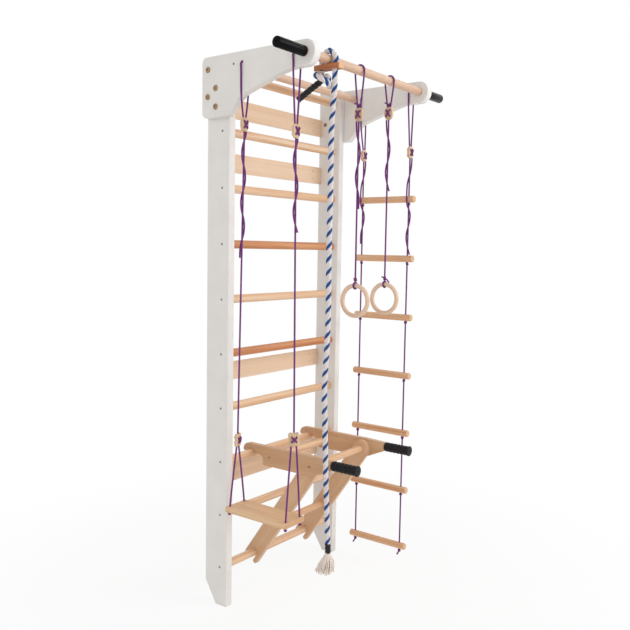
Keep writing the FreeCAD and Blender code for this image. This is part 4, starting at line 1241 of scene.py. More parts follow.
@dataclass
class LadderFrame:
    """Uprights, rungs, slats, bracket plates and bars, which stay as the CAD model has them."""

    finishes: Finishes
    body: str = "frame"
    deep_rungs: tuple[int, ...] = (4, 6)
    grip_overhang: float = 0.152
    grip_end: float = 0.004
    grip_gap: float = 0.006
    grip_radius: float = 0.0191
    grip_vent: float = 0.0036
    bolt_radius: float = 0.0118
    bolt_height: float = 0.0032
    bolt_key: float = 0.0038
    nut_radius: float = 0.0085
    nut_height: float = 0.0022
    nut_key: float = 0.003
    # Each bolt: how far it is from the wall and how far below the top
    bolt_places: tuple[tuple[float, float], ...] = (
        (0.033, 0.049),
        (0.074, 0.122),
        (0.032, 0.152),
        (0.074, 0.192),
    )

    def dress_solids(self) -> None:
        """Gives each solid that stays its finish."""
        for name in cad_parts:
            finish = self.finish_of(name)
            if finish is not None:
                dress(name, finish)

    def finish_of(self, node: str) -> bpy.types.Material | None:
        """Chooses a solid's finish.

        Args:
            node: The solid's name.

        Returns:
            Its material, or None where it isn't one of the frame's.
        """
        if node.startswith(("upright_", "bracket_plate_")):
            return self.finishes.paint
        if node.startswith("rung_"):
            return self.finishes.deep_rung if int(node[-2:]) in self.deep_rungs else self.finishes.rung
        if node.startswith("wall_slat_"):
            return self.finishes.slat
        if node in ("pull_up_bar", "brace_bar", "splice_dowels"):
            return self.finishes.bar
        if node in ("frame_screws", "dip_screws"):
            return self.finishes.screw
        return None

    def grips(self) -> None:
        """Makes the black grips on the bar's ends, each closed at its end with a small vent hole."""
        start = PLATE_OUTER + self.grip_gap
        length = self.grip_overhang + self.grip_end - self.grip_gap
        radius = self.grip_radius
        profile = [
            (0.0, BAR_DIAMETER / 2 + 0.0001, 0),
            (0.0, radius - 0.0006, 0),
            (0.0006, radius, 0),
            (length - 0.003, radius, 0),
            (length - 0.0009, radius - 0.0009, 0),
            (length, radius - 0.003, 0),
            (length, self.grip_vent + 0.0006, 0),
            (length - 0.0006, self.grip_vent, 0),
            (length - 0.0034, self.grip_vent, 0),
        ]
        for side in Side:
            skin = Skin()
            skin.lathe(profile, lying(at(side.value * start, BAR_FROM_WALL, BAR_HEIGHT), side.value))
            made = skin.piece("bar_grip_" + side.name.lower(), [self.finishes.grip], self.body)
            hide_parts("bar_grips")

    def bolt_profile(self) -> list[tuple[float, float, int]]:
        """Draws a bolt head from the plate outwards, with a hexagon socket.

        Returns:
            Its profile, as a turned form takes it.
        """
        radius, height, key = self.bolt_radius, self.bolt_height, self.bolt_key
        return [
            (-0.001, radius, 0),
            (height * 0.5, radius, 0),
            (height * 0.9, radius - 0.0012, 0),
            (height, radius - 0.003, 0),
            (height, key * 1.25, 0),
            (height - 0.0002, key, 6),
            (height - 0.0022, key, 6),
        ]

    def nut_profile(self) -> list[tuple[float, float, int]]:
        """Draws a flat sleeve nut from the upright inwards, with a hexagon socket.

        Returns:
            Its profile, as a turned form takes it.
        """
        radius, height, key = self.nut_radius, self.nut_height, self.nut_key
        return [
            (-0.0005, radius, 0),
            (height - 0.0012, radius, 0),
            (height - 0.0002, radius - 0.0013, 0),
            (height, key * 1.2, 0),
            (height - 0.001, key, 6),
        ]

    def bolts(self) -> None:
        """Makes the bolt heads on the plates' outer faces and their nuts on the uprights' inner faces."""
        for side in Side:
            name, way = side.name.lower(), side.value
            heads, nuts = Skin(), Skin()
            for from_wall, drop in self.bolt_places:
                heads.lathe(self.bolt_profile(), lying(at(way * PLATE_OUTER, from_wall, HEIGHT - drop), way))
                nuts.lathe(self.nut_profile(), lying(at(way * UPRIGHT_INNER, from_wall, HEIGHT - drop), -way))
            made = heads.piece("bolt_heads_" + name, [self.finishes.bolt], self.body, flat_above=METAL_FORM)
            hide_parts("bracket_bolts")
            made = nuts.piece("sleeve_nuts_" + name, [self.finishes.bolt], self.body, flat_above=METAL_FORM)

    def build(self) -> None:
        """Dresses the frame and makes its own pieces."""
        self.dress_solids()
        self.grips()
        self.bolts()


@dataclass
class ClimbingRope:
    """The rope over the pull-up bar, two white strands and a blue one, with block, sleeves and tassel."""

    finishes: Finishes
    body: str = "rope"
    x: float = -0.277
    diameter: float = 0.022
    length: float = 2.37
    pitch: float = 0.048
    rings_per_pitch: int = 22
    girth_faces: int = 36
    strand_depth: float = 0.0032
    over_bar: float = 0.02895
    mouth: float = 0.028
    mouth_drop: float = 0.01985
    sleeve_wall: float = 0.0009
    depth_under_sleeve: float = 0.8
    end_sleeve: float = 0.040
    tail_sleeve: float = 0.112
    tassel_length: float = 0.096
    tassel_radius: float = 0.038
    tassel_lean: tuple[float, float, float] = (-0.010, 0.012, 0.0)
    tassel_root: float = 0.0072
    yarns: int = 90
    yarn_radius: float = 0.0025
    yarn_sway: float = 0.004
    yarn_step: float = 0.008
    seed: int = 7

    def over_bar_corner(self, first: float, last: float) -> tuple[float, float, float]:
        """Finds the corner between two lines that touch the rope's turn over the bar.

        Args:
            first: The angle round the bar, in degrees, at which the first line touches the turn.
            last: The angle at which the second one does.

        Returns:
            The corner from the bar: along it, ahead of it and below it.
        """
        middle, half = math.radians((first + last) / 2), math.radians((last - first) / 2)
        reach = self.over_bar / math.cos(half)
        return 0.0, reach * math.cos(middle), -reach * math.sin(middle)

    def corners(self) -> list[Vector]:
        """Lays the rope from its bound end up to the bar, over it and round to its tail.

        Returns:
            The rope's corners.
        """
        # Each corner: how far it is along the bar, ahead of it and below it
        from_bar = (
            (0.0530, 0.0, 1.873),
            (0.0470, 0.0, 1.790),
            (0.0400, 0.0, 1.700),
            (0.0290, 0.0, 1.560),
            (0.0190, 0.0, 1.380),
            (0.0070, 0.0, 1.220),
            (0.0200, 0.0, 1.080),
            (0.0270, 0.0, 0.920),
            (0.0210, 0.0, 0.700),
            (0.0250, 0.0, 0.480),
            (0.0220, 0.0, 0.260),
            (0.0210, 0.0060, 0.165),
            (0.0130, 0.0180, 0.110),
            (0.0049, 0.0250, 0.074),
            (0.0, self.mouth, 0.046),
            (0.0, self.mouth, self.mouth_drop),
            self.over_bar_corner(-25.0, 45.0),
            self.over_bar_corner(45.0, 135.0),
            self.over_bar_corner(135.0, 205.0),
            (0.0, -self.mouth, self.mouth_drop),
            (0.0001, -self.mouth, 0.044),
            (-0.0161, -0.0379, 0.050),
            (-0.0429, -0.0303, 0.060),
            (-0.0468, -0.0023, 0.072),
            (-0.0160, 0.0120, 0.086),
            (0.0152, -0.0064, 0.094),
            (0.0343, -0.0209, 0.079),
            (0.0259, -0.0221, 0.050),
            (-0.0044, -0.0092, 0.060),
            (-0.0157, -0.0207, 0.076),
            (-0.0257, -0.0407, 0.092),
            (-0.0600, -0.0950, 0.145),
        )
        return [
            at(self.x + along, BAR_FROM_WALL + ahead, BAR_HEIGHT - drop) for along, ahead, drop in from_bar
        ]

    def rope(self, line: list[Vector], pieces: list[bpy.types.Object]) -> None:
        """Args:
            line: The rope's line.
            pieces: The pieces on it. Not used.
        """
        skin = Skin()
        laid = Laid(self.pitch, self.strand_depth, coloured=1)
        rings = evenly(line, self.pitch / self.rings_per_pitch)
        skin.tube(rings, self.diameter / 2, sides=self.girth_faces, laid=laid)
        finishes = [self.finishes.white_strand, self.finishes.blue_strand]
        made = skin.piece("climbing_rope_strands", finishes, self.body, flat_above=SOFT_FORM)
        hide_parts("climbing_rope")

    def sleeves(self, line: list[Vector]) -> list[bpy.types.Object]:
        """Makes the black sleeves shrunk on the rope's two ends, on which its strands show.

        Args:
            line: The rope's line.

        Returns:
            The two sleeves.
        """
        made = []
        rings = evenly(line, self.pitch / self.rings_per_pitch)
        before = rings[0] + (rings[0] - rings[1]).normalized() * self.sleeve_wall
        after = rings[-1] + (rings[-1] - rings[-2]).normalized() * self.sleeve_wall
        rings = [before, *rings, after]
        whole = length_along(rings)[-1]
        for name, span in (
            ("end_sleeve", (0.0, self.end_sleeve)),
            ("tail_sleeve", (whole - self.tail_sleeve, whole)),
        ):
            skin = Skin()
            laid = Laid(self.pitch, self.strand_depth * self.depth_under_sleeve)
            radius = self.diameter / 2 + self.sleeve_wall
            skin.tube(rings, radius, sides=self.girth_faces, laid=laid, span=span)
            finish = self.finishes.sleeve
            sleeve = skin.piece("rope_" + name + "_shrunk", [finish], self.body, flat_above=SOFT_FORM)
            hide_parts("rope_" + name)
            made.append(sleeve)
        return made

    def tassel(self, line: list[Vector]) -> bpy.types.Object:
        """Makes the frayed yarns below the bound end, which spread and curl.

        Args:
            line: The rope's line.

        Returns:
            The tassel.
        """
        chance = random.Random(self.seed)
        down = (line[0] - line[1]).normalized()
        across = down.orthogonal().normalized()
        side = down.cross(across)
        skin = Skin()
        for number in range(self.yarns):
            share = math.sqrt((number + 0.5) / self.yarns)
            angle = number * GOLDEN_ANGLE
            out = across * math.cos(angle) + side * math.sin(angle)
            reach = self.tassel_radius * share * chance.uniform(0.72, 0.97)
            length = self.tassel_length * chance.uniform(0.88, 0.99) * (1 - 0.14 * share * share)
            sway = (across * chance.uniform(-1, 1) + side * chance.uniform(-1, 1)) * self.yarn_sway
            lean = Vector(self.tassel_lean)
            root = line[0] + out * (self.tassel_root * share) - down * 0.003
            corners = [
                root,
                root + down * (length * 0.22) + out * (reach * 0.2),
                root + down * (length * 0.48) + out * (reach * 0.56) + sway * 0.5 + lean * 0.3,
                root + down * (length * 0.76) + out * (reach * 0.86) + sway + lean * 0.7,
                root + down * length + out * (reach * chance.uniform(0.9, 1.0)) - sway * 0.5 + lean,
            ]
            yarn = evenly(smooth_line(corners), self.yarn_step)
            skin.tube(yarn, self.yarn_radius, sides=7, end_share=0.6)
        made = skin.piece("rope_tassel_yarns", [self.finishes.tassel], self.body, flat_above=SOFT_FORM)
        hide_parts("rope_tassel")
        return made

    def build(self) -> None:
        """Makes the rope and what is on it."""
        dress("rope_block", self.finishes.red_wood)
        line = smooth_line(self.corners())
        pieces = [*self.sleeves(line), self.tassel(line)]
        self.rope(line, pieces)


@dataclass
class RingSet:
    """One gym ring with its cord over the pull-up bar and its adjuster."""

    finishes: Finishes
    name: str
    x: float
    adjuster_z: float
    tail_z: float
    loop_length: float
    cord_length: float
    tail_length: float
    ring_radius: float = 0.060
    section_radius: float = 0.009
    ring_height: float = 1.265
    bar_gap: float = 0.0009
    knot_rise: float = 0.008
    knot_size: float = 1.25
    tie_rise: float = 0.006
    tie_size: float = 1.3
    head_gap: float = 0.00005
    tie_ends: tuple[tuple[float, float, float], ...] = ((-0.014, 0.012, 0.012), (-0.010, -0.014, 0.010))
    knot_ends: tuple[tuple[float, float, float], ...] = ()

    @property
    def body(self) -> str:
        """The CAD body that the set rides on."""
        return self.name + "_ring_set"

    def ring(self) -> bpy.types.Object:
        """Makes the turned and laminated wooden ring.

        Returns:
            The ring.
        """
        centre = at(self.x, BAR_FROM_WALL, self.ring_height)
        line = []
        for step in range(96):
            angle = 2 * math.pi * step / 96
            line.append(centre + Vector((0, math.cos(angle), math.sin(angle))) * self.ring_radius)
        skin = Skin()
        skin.tube(line, self.section_radius, sides=24, closed=True)
        made = skin.piece("wooden_ring_" + self.name, [self.finishes.ring], self.body, flat_above=SOFT_FORM)
        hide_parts("ring_" + self.name)
        return made

    def sling(self, section_top: Vector, radius: float) -> bpy.types.Object:
        """Makes the cord's sling round the ring.

        Args:
            section_top: The middle of the ring's section, where it is highest.
            radius: The radius of the sling's own line.

        Returns:
            The sling.
        """
        circle = []
        for step in range(32):
            angle = 2 * math.pi * step / 32
            circle.append(section_top + Vector((math.cos(angle), 0, math.sin(angle))) * radius)
        skin = Skin()
        skin.tube(circle, CORD_DIAMETER / 2, sides=12, closed=True)
        made = skin.piece("ring_sling_" + self.name, [self.finishes.cord], self.body, flat_above=SOFT_FORM)
        return made

    def loop_corners(self) -> list[Vector]:
        """Lays the cord's loop from the adjuster over the bar and back.

        Returns:
            The loop's corners.
        """
        round_bar = BAR_DIAMETER / 2 + CORD_DIAMETER / 2 + self.bar_gap
        end_z = strand_end(self.adjuster_z, self.head_gap)
        up_z = BAR_HEIGHT - 0.012
        diagonal = round_bar * math.tan(math.radians(22.5))
        half = [
            at(self.x, BAR_FROM_WALL + STRAND_HALF_GAP, end_z),
            at(self.x, BAR_FROM_WALL + round_bar, up_z),
            at(self.x, BAR_FROM_WALL + round_bar, BAR_HEIGHT + diagonal),
            at(self.x, BAR_FROM_WALL + diagonal, BAR_HEIGHT + round_bar),
        ]
        mirror = 2 * (WALL_Y - BAR_FROM_WALL)
        behind = [Vector((point.x, mirror - point.y, point.z)) for point in reversed(half)]
        return half + behind

    def build(self) -> None:
        """Makes the set."""
        cord, wood = self.finishes.cord, self.finishes.pale_wood_z
        plate_at = at(self.x, BAR_FROM_WALL, self.adjuster_z)
        facing = [(plate_at, math.pi / 2)]
        plate = wooden_plate("ring_plate_" + self.name, Outline.OVAL, facing, ADJUSTER_SIZE, wood, self.body)
        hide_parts("ring_adjuster_" + self.name)
        ring = self.ring()
        section_top = at(self.x, BAR_FROM_WALL, self.ring_height + self.ring_radius)
        sling_radius = self.section_radius + CORD_DIAMETER / 2 + CORD_GAP
        sling = self.sling(section_top, sling_radius)
        bottom = section_top + Vector((0, 0, sling_radius + CORD_DIAMETER / 2 + CORD_GAP))
        top = at(self.x, BAR_FROM_WALL, self.adjuster_z - ADJUSTER_HEIGHT / 2)
        knot_at = bottom + Vector((0, 0, self.knot_rise))
        knot = knots("ring_knot_" + self.name, [knot_at], cord, self.body, self.knot_size, self.knot_ends)
        above = plate_at + Vector((0, 0, ADJUSTER_HEIGHT / 2 + self.tie_rise))
        tie = knots("ring_tie_" + self.name, [above], cord, self.body, self.tie_size, self.tie_ends)
        laces = lacing("ring_lacing_" + self.name, plate_at, -math.pi / 2, *LACING_HALF, cord, self.body)
        loop = CordRun("ring_loop_" + self.name, self.loop_corners(), self.loop_length)
        made = loop.make(cord, self.body, [laces, tie])
        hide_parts("ring_cord_" + self.name)
        main_cord = CordRun("ring_line_" + self.name, [top, bottom], self.cord_length)
        main_cord.make(cord, self.body, [knot, sling])
        corners = tail_corners(top, bottom, self.tail_z, math.pi / 2)
        tail = CordRun("ring_tail_" + self.name, corners, self.tail_length, "bare", "hanging")
        tail.make(cord, self.body, [])
        LOG.info("%s hangs at x %.3f", ring.name, self.x)


@dataclass(frozen=True)
class SwingSide:
    """The sizes of the swing's rear or front cord. Its toggle's turn is in degrees."""

    name: str
    from_wall: float
    adjuster_z: float
    tail_z: float
    toggle_z: float
    toggle_turn: float
    seat_sign: int
    loop_length: float
    cord_length: float
    tail_length: float
    bridle_length: float


@dataclass
class Swing:
    """The seat swing under the left bracket plate."""

    finishes: Finishes
    body: str = "swing"
    seat_top: float = 0.456
    seat_thickness: float = 0.020
    seat_from_wall: float = 0.331
    hole_half_length: float = 0.141
    hole_half_width: float = 0.043
    toggle_size: tuple[float, float] = (0.042, 0.050)
    toggle_hole_half: float = 0.010
    knee_rise: float = 0.008
    sides: tuple[SwingSide, ...] = (
        SwingSide(
            "rear", from_wall=0.210, adjuster_z=1.931, tail_z=1.412, toggle_z=0.714, toggle_turn=20.0,
            seat_sign=-1, loop_length=0.446, cord_length=1.166, tail_length=0.494, bridle_length=0.270,
        ),
        SwingSide(
            "front", from_wall=0.460, adjuster_z=1.887, tail_z=1.520, toggle_z=0.762, toggle_turn=-38.0,
            seat_sign=1, loop_length=0.533, cord_length=1.074, tail_length=0.349, bridle_length=0.318,
        ),
    )

    def build(self) -> None:
        """Makes the swing's cords, lacings and knots, and dresses its wooden parts."""
        dress("swing_seat", self.finishes.seat)
        wood, body = self.finishes.pale_wood_z, self.body
        adjusters = [(at(-PLATE_MIDDLE, side.from_wall, side.adjuster_z), 0.0) for side in self.sides]
        toggles = [(self.toggle_place(side), math.radians(side.toggle_turn)) for side in self.sides]
        made = wooden_plate("swing_plates", Outline.OVAL, adjusters, ADJUSTER_SIZE, wood, body)
        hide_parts("swing_adjusters")
        made = wooden_plate("swing_toggle_plates", Outline.WAISTED, toggles, self.toggle_size, wood, body)
        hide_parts("swing_toggles")
        for side in self.sides:
            self.hang(side)

    def toggle_place(self, side: SwingSide) -> Vector:
        """The middle of the toggle on one of the swing's cords."""
        return at(-PLATE_MIDDLE, self.seat_from_wall + side.seat_sign * self.hole_half_length, side.toggle_z)

    def hang(self, side: SwingSide) -> None:
        """Makes one cord of the swing, from its loop to its two knots under the seat.

        Args:
            side: The cord's sizes.
        """
        middle, cord, body = -PLATE_MIDDLE, self.finishes.cord, self.body
        ahead = self.seat_from_wall + side.seat_sign * self.hole_half_length
        toggle = self.toggle_place(side)
        turn = math.radians(side.toggle_turn)
        adjuster = at(middle, side.from_wall, side.adjuster_z)
        top = at(middle, side.from_wall, side.adjuster_z - ADJUSTER_HEIGHT / 2)
        half_toggle = Vector((0, 0, self.toggle_size[1] / 2))
        bottom = toggle + half_toggle
        loop = plate_loop_corners(Side.LEFT, side.from_wall, side.from_wall, side.adjuster_z)
        made = CordRun("swing_loop_" + side.name, loop, side.loop_length).make(cord, "frame", [])
        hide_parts("swing_loops")
        laces = lacing("swing_lacing_" + side.name, adjuster, 0.0, *LACING_HALF, cord, body)
        reach = self.toggle_hole_half
        toggle_laces = lacing("toggle_lacing_" + side.name, toggle, turn, reach, reach, cord, body)
        main_cord = CordRun("swing_line_" + side.name, [top, bottom], side.cord_length)
        made = main_cord.make(cord, body, [laces, toggle_laces])
        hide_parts("swing_cord_" + side.name)
        corners = tail_corners(top, bottom, side.tail_z, 0.0)
        tail = CordRun("swing_tail_" + side.name, corners, side.tail_length, "bare", "hanging")
        tail.make(cord, body, [])
        for sign, word in ((-1, "outer"), (1, "inner")):
            hole_x = middle + sign * self.hole_half_width
            start = toggle + Vector((math.cos(turn), math.sin(turn), 0)) * (sign * reach)
            start = start - half_toggle
            knee = at(hole_x, ahead, self.seat_top + self.knee_rise)
            underside = self.seat_top - self.seat_thickness
            under = at(hole_x, ahead, underside - KNOT_HEIGHT - CORD_GAP)
            knot_at = at(hole_x, ahead, underside - KNOT_HEIGHT / 2)
            knot = knots(f"swing_knot_{side.name}_{word}", [knot_at], cord, body)
            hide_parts("swing_knots")
            corners = [start, knee, under]
            bridle = CordRun(f"swing_bridle_{side.name}_{word}", corners, side.bridle_length, "knot")
            made = bridle.make(cord, body, [knot])
            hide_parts("swing_bridles")


@dataclass
class RopeLadder:
    """The rope ladder under the right bracket plate."""

    finishes: Finishes
    body: str = "rope_ladder"
    rung_count: int = 7
    pitch: float = 0.2645
    lowest: float = 0.108
    rung_radius: float = 0.015
    adjuster_z: float = 1.900
    knot_size: float = 1.1
    pass_out: float = 0.020
    pass_rise: float = 0.025
    tail_turn: float = math.radians(270)
    cord_end: float = 0.062
    loose_end: tuple[float, float, float] = (-0.0070, 0.0085, 0.003)
    cord_length: float = 1.812
    # Each cord: where it hangs from the plate, where its adjuster is, its loop's length, where its tail ends
    # and the tail's length
    cords: tuple[tuple[str, float, float, float, float, float], ...] = (
        ("rear", 0.210, 0.218, 0.508, 1.495, 0.396),
        ("front", 0.460, 0.463, 0.507, 1.442, 0.444),
    )

    def tail(self, top: Vector, bottom: Vector, end_z: float) -> list[Vector]:
        """Winds the free end of a cord round the cord, past the highest rung on one side.

        Args:
            top: The cord's upper end.
            bottom: The cord's lower end.
            end_z: The height at which the free end stops.

        Returns:
            The free end's corners.
        """
        rung_z = self.lowest + (self.rung_count - 1) * self.pitch
        high, low = rung_z + self.pass_rise, rung_z - self.pass_rise
        wound = tail_corners(top, bottom, end_z, self.tail_turn)
        above = [corner for corner in wound if corner.z > high + self.pass_rise / 2]
        beside = [Vector((top.x - self.pass_out, top.y, z)) for z in (high, low)]
        below = tail_corners(Vector((top.x, top.y, low - TAIL_STEP / 2)), bottom, end_z, self.tail_turn)
        return above + beside + below[1:]

    def build(self) -> None:
        """Makes the ladder's cords, lacings and knots, and dresses its wooden parts."""
        dress("ladder_rungs", self.finishes.ladder_rung)
        cord, wood, body = self.finishes.cord, self.finishes.pale_wood_z, self.body
        places = [(at(PLATE_MIDDLE, ahead, self.adjuster_z), 0.0) for _, _, ahead, *_ in self.cords]
        plates = wooden_plate("ladder_plates", Outline.OVAL, places, ADJUSTER_SIZE, wood, body)
        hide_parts("ladder_adjusters")
        knot_drop = self.rung_radius + KNOT_HEIGHT / 2 + CORD_GAP
        for name, top_ahead, ahead, loop_length, tail_z, tail_length in self.cords:
            loop = plate_loop_corners(Side.RIGHT, ahead, top_ahead, self.adjuster_z)
            made = CordRun("ladder_loop_" + name, loop, loop_length).make(cord, "frame", [])
            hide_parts("ladder_loops")
            adjuster = at(PLATE_MIDDLE, ahead, self.adjuster_z)
            top = at(PLATE_MIDDLE, ahead, self.adjuster_z - ADJUSTER_HEIGHT / 2)
            bottom = at(PLATE_MIDDLE, ahead, self.cord_end)
            laces = lacing("ladder_lacing_" + name, adjuster, 0.0, *LACING_HALF, cord, body)
            centres = [
                at(PLATE_MIDDLE, ahead, self.lowest + number * self.pitch - knot_drop)
                for number in range(self.rung_count)
            ]
            tied = knots("ladder_knots_" + name, centres, cord, body, self.knot_size)
            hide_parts("ladder_knots")
            last_rung = at(PLATE_MIDDLE, ahead, self.lowest)
            below_knot = at(PLATE_MIDDLE, ahead, self.lowest - self.rung_radius - KNOT_HEIGHT)
            line = [top, last_rung, below_knot, bottom + Vector(self.loose_end)]
            main_cord = CordRun("ladder_line_" + name, line, self.cord_length, "bare")
            made = main_cord.make(cord, body, [laces, tied])
            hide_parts("ladder_cord_" + name)
            corners = self.tail(top, bottom, tail_z)
            CordRun("ladder_tail_" + name, corners, tail_length, "bare", "hanging").make(cord, body, [])


@dataclass
class DipStation:
    """The hook-on dip station: its wooden boards stay, its two ribbed grips are made here."""

    finishes: Finishes
    body: str = "dip_station"
    offset: float = 0.011
    half_width: float = 0.206
    board: float = 0.020
    arm_front: float = 0.495
    grip_z: float = 0.618
    grip_length: float = 0.121
    grip_radius: float = 0.019
    rib_height: float = 0.0012
    groove: float = 0.0007
    ribs: int = 6
    flange_radius: float = 0.0215
    flange_length: float = 0.007

    def grip_profile(self) -> list[tuple[float, float, int]]:
        """Draws a grip from the arm outwards: coarse round ribs, then a flange with a round edge.

        Returns:
            Its profile, as a turned form takes it.
        """
        profile = [(0.0, self.grip_radius - 0.003), (0.001, self.grip_radius - 0.001)]
        pitch = (self.grip_length - self.flange_length - 0.006) / self.ribs
        steps = 10
        for step in range(1, self.ribs * steps):
            wave = abs(math.sin(math.pi * step / steps)) ** 0.7
            rise = wave * (self.groove + self.rib_height) - self.groove
            profile.append((0.003 + step * pitch / steps, self.grip_radius + rise))
        end = self.grip_length
        flange = self.flange_radius
        profile += [
            (end - self.flange_length, self.grip_radius),
            (end - self.flange_length + 0.0004, flange - 0.001),
            (end - self.flange_length + 0.0018, flange),
            (end - 0.002, flange),
            (end - 0.0005, flange - 0.0012),
            (end, flange - 0.004),
            (end, 0.004),
            (end - 0.002, 0.003),
        ]
        return [(away, radius, 0) for away, radius in profile]

    def build(self) -> None:
        """Makes the grips and dresses the wooden parts."""
        for name, finish in (
            ("dip_arm_left", self.finishes.dip_arm),
            ("dip_arm_right", self.finishes.dip_arm),
            ("dip_leg_left", self.finishes.dip_leg),
            ("dip_leg_right", self.finishes.dip_leg),
            ("dip_dowels", self.finishes.dip_dowel),
        ):
            dress(name, finish)
        forward = Quaternion((1, 0, 0), math.pi / 2).to_matrix().to_4x4()
        for side in Side:
            middle = self.offset + side.value * (self.half_width - self.board / 2)
            skin = Skin()
            place = Matrix.Translation(at(middle, self.arm_front, self.grip_z))
            skin.lathe(self.grip_profile(), place @ forward, caps=(True, True))
            made = skin.piece("dip_grip_" + side.name.lower(), [self.finishes.dip_grip], self.body)
            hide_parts("dip_grips")


# ---------------------------------------------------------------- studio


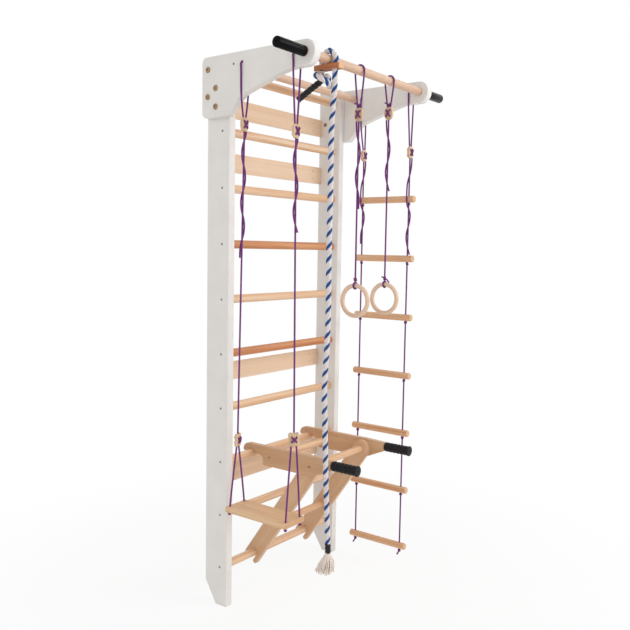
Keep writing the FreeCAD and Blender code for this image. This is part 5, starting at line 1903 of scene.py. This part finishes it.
@dataclass
class Studio:
    """The floor, the lamps, the world and the camera, whose angles are in degrees."""

    camera_place: tuple[float, float, float] = (-2.58098, -1.89505, 1.46343)
    camera_yaw: float = 37.036
    camera_pitch: float = -4.928
    camera_roll: float = 1.004
    lens: float = 43.63
    lens_shift: float = 0.0011
    floor_radius: float = 9.0
    floor_z: float = -0.0005
    shadow_radius: float = 2.2
    shadow_share: float = 0.86
    sky: float = 0.62
    lamp_colour: str = "#ffffff"

    def seen_directly(self, tree: bpy.types.NodeTree) -> bpy.types.NodeSocket:
        """Picks out the rays from the camera and those that metal or glass sends on.

        Args:
            tree: The node tree.

        Returns:
            A factor that is 1 for them and 0 for the others.
        """
        rays = add_node(tree, "LightPath")
        first = add_node(
            tree, "Math", {"operation": "ADD", "use_clamp": True},
            links={0: rays.outputs["Is Camera Ray"], 1: rays.outputs["Is Glossy Ray"]},
        )
        return add_node(
            tree, "Math", {"operation": "ADD", "use_clamp": True},
            links={0: first.outputs["Value"], 1: rays.outputs["Is Transmission Ray"]},
        ).outputs["Value"]

    def world(self) -> None:
        """Makes a white background, and soft light from all round."""
        world = bpy.data.worlds.new("studio")
        bpy.context.scene.world = world
        world.use_nodes = True
        tree = world.node_tree
        tree.nodes.clear()
        plain = linear("#ffffff")
        light = add_node(tree, "Background", values={"Color": plain, "Strength": self.sky})
        white = add_node(tree, "Background", values={"Color": plain, "Strength": 1.0})
        mixed = add_node(
            tree,
            "MixShader",
            links={
                0: self.seen_directly(tree),
                1: light.outputs["Background"],
                2: white.outputs["Background"],
            },
        )
        add_node(tree, "OutputWorld", links={"Surface": mixed.outputs["Shader"]})

    def floor(self) -> None:
        """Makes a pale matt floor that keeps the shadow near the wall bars and fades to white further out."""
        mesh = bpy.data.meshes.new("studio_floor")
        rim = []
        for step in range(96):
            angle = 2 * math.pi * step / 96
            across, ahead = self.floor_radius * math.cos(angle), self.floor_radius * math.sin(angle)
            rim.append((across, ahead, self.floor_z))
        mesh.from_pydata(rim, [], [tuple(range(96))])
        material = bpy.data.materials.new("pale_studio_floor")
        material.use_nodes = True
        tree = material.node_tree
        tree.nodes.clear()
        matt = add_node(tree, "BsdfDiffuse", values={"Color": linear("#f4f3f2")})
        white = add_node(tree, "Emission", values={"Color": linear("#ffffff"), "Strength": 1.0})
        place = add_node(tree, "TexCoord")
        away = add_node(tree, "VectorMath", {"operation": "LENGTH"}, links={0: place.outputs["Object"]})
        fade = add_node(
            tree, "MapRange", {"interpolation_type": "SMOOTHSTEP"},
            {"From Min": 0.5, "From Max": self.shadow_radius, "To Min": self.shadow_share, "To Max": 1.0},
            {"Value": away.outputs["Value"]},
        )
        factor = add_node(
            tree, "Math", {"operation": "MULTIPLY"},
            links={0: fade.outputs["Result"], 1: self.seen_directly(tree)},
        )
        mixed = add_node(
            tree, "MixShader",
            links={0: factor.outputs["Value"], 1: matt.outputs["BSDF"], 2: white.outputs["Emission"]},
        )
        add_node(tree, "OutputMaterial", links={"Surface": mixed.outputs["Shader"]})
        mesh.materials.append(material)
        floor = bpy.data.objects.new("studio_floor", mesh)
        bpy.context.scene.collection.objects.link(floor)

    def lamp(self, name: str, place: Vector, target: Vector, size: tuple[float, float], power: float) -> None:
        """Makes a soft lamp.

        Args:
            name: The lamp's name.
            place: Where it stands.
            target: What it points at.
            size: Its width and height.
            power: Its power in watts.
        """
        data = bpy.data.lights.new(name, "AREA")
        data.shape = "RECTANGLE"
        data.size, data.size_y = size
        data.energy = power
        data.color = linear(self.lamp_colour)[:3]
        lamp = bpy.data.objects.new(name, data)
        lamp.location = place
        lamp.rotation_euler = (target - place).to_track_quat("-Z", "Y").to_euler()
        bpy.context.scene.collection.objects.link(lamp)

    def lamps(self) -> None:
        """Places a broad key lamp on the right, a weak fill on the left and a strip that gleams on black."""
        middle = Vector((0.0, 0.0, 1.1))
        self.lamp("key", Vector((1.9, -4.6, 3.2)), middle, (3.0, 3.0), 120.0)
        self.lamp("fill", Vector((-4.6, -0.6, 2.2)), middle, (3.0, 3.0), 30.0)
        self.lamp("strip", Vector((2.5, -0.9, 4.6)), Vector((0.0, -0.2, 2.1)), (0.3, 2.4), 14.0)

    def camera(self) -> None:
        """Places the camera where the photograph was taken, with its angle of view."""
        angles = (self.camera_yaw, self.camera_pitch, self.camera_roll)
        yaw, pitch, roll = (math.radians(angle) for angle in angles)
        ahead = Vector((math.cos(yaw) * math.cos(pitch), math.sin(yaw) * math.cos(pitch), math.sin(pitch)))
        level = Vector((math.sin(yaw), -math.cos(yaw), 0.0))
        upward = level.cross(ahead)
        right = level * math.cos(roll) + upward * math.sin(roll)
        up = upward * math.cos(roll) - level * math.sin(roll)
        data = bpy.data.cameras.new("view")
        data.sensor_width = 36.0
        data.lens = self.lens
        data.shift_y = self.lens_shift
        view = bpy.data.objects.new("view", data)
        facing = Matrix((right, up, -ahead)).transposed().to_4x4()
        view.matrix_world = Matrix.Translation(self.camera_place) @ facing
        bpy.context.scene.collection.objects.link(view)
        bpy.context.scene.camera = view

    def build(self) -> None:
        """Sets up the studio."""
        bpy.context.scene.view_settings.view_transform = "Standard"
        self.world()
        self.floor()
        self.lamps()
        self.camera()


def main() -> None:
    """Builds the sub-assemblies in order."""
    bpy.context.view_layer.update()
    finishes = make_finishes()
    Studio().build()
    LadderFrame(finishes).build()
    ClimbingRope(finishes).build()
    RingSet(
        finishes, "left", x=-0.074, adjuster_z=1.990, tail_z=1.600, loop_length=0.347, cord_length=0.622,
        tail_length=0.349,
    ).build()
    RingSet(
        finishes, "right", x=0.145, adjuster_z=2.027, tail_z=1.668, loop_length=0.274, cord_length=0.659,
        tail_length=0.301, knot_ends=((-0.009, 0.010, 0.008), (0.012, -0.014, -0.014)),
    ).build()
    Swing(finishes).build()
    RopeLadder(finishes).build()
    DipStation(finishes).build()


if __name__ == "__main__":
    logging.basicConfig(level=logging.INFO, format="%(message)s")
    main()
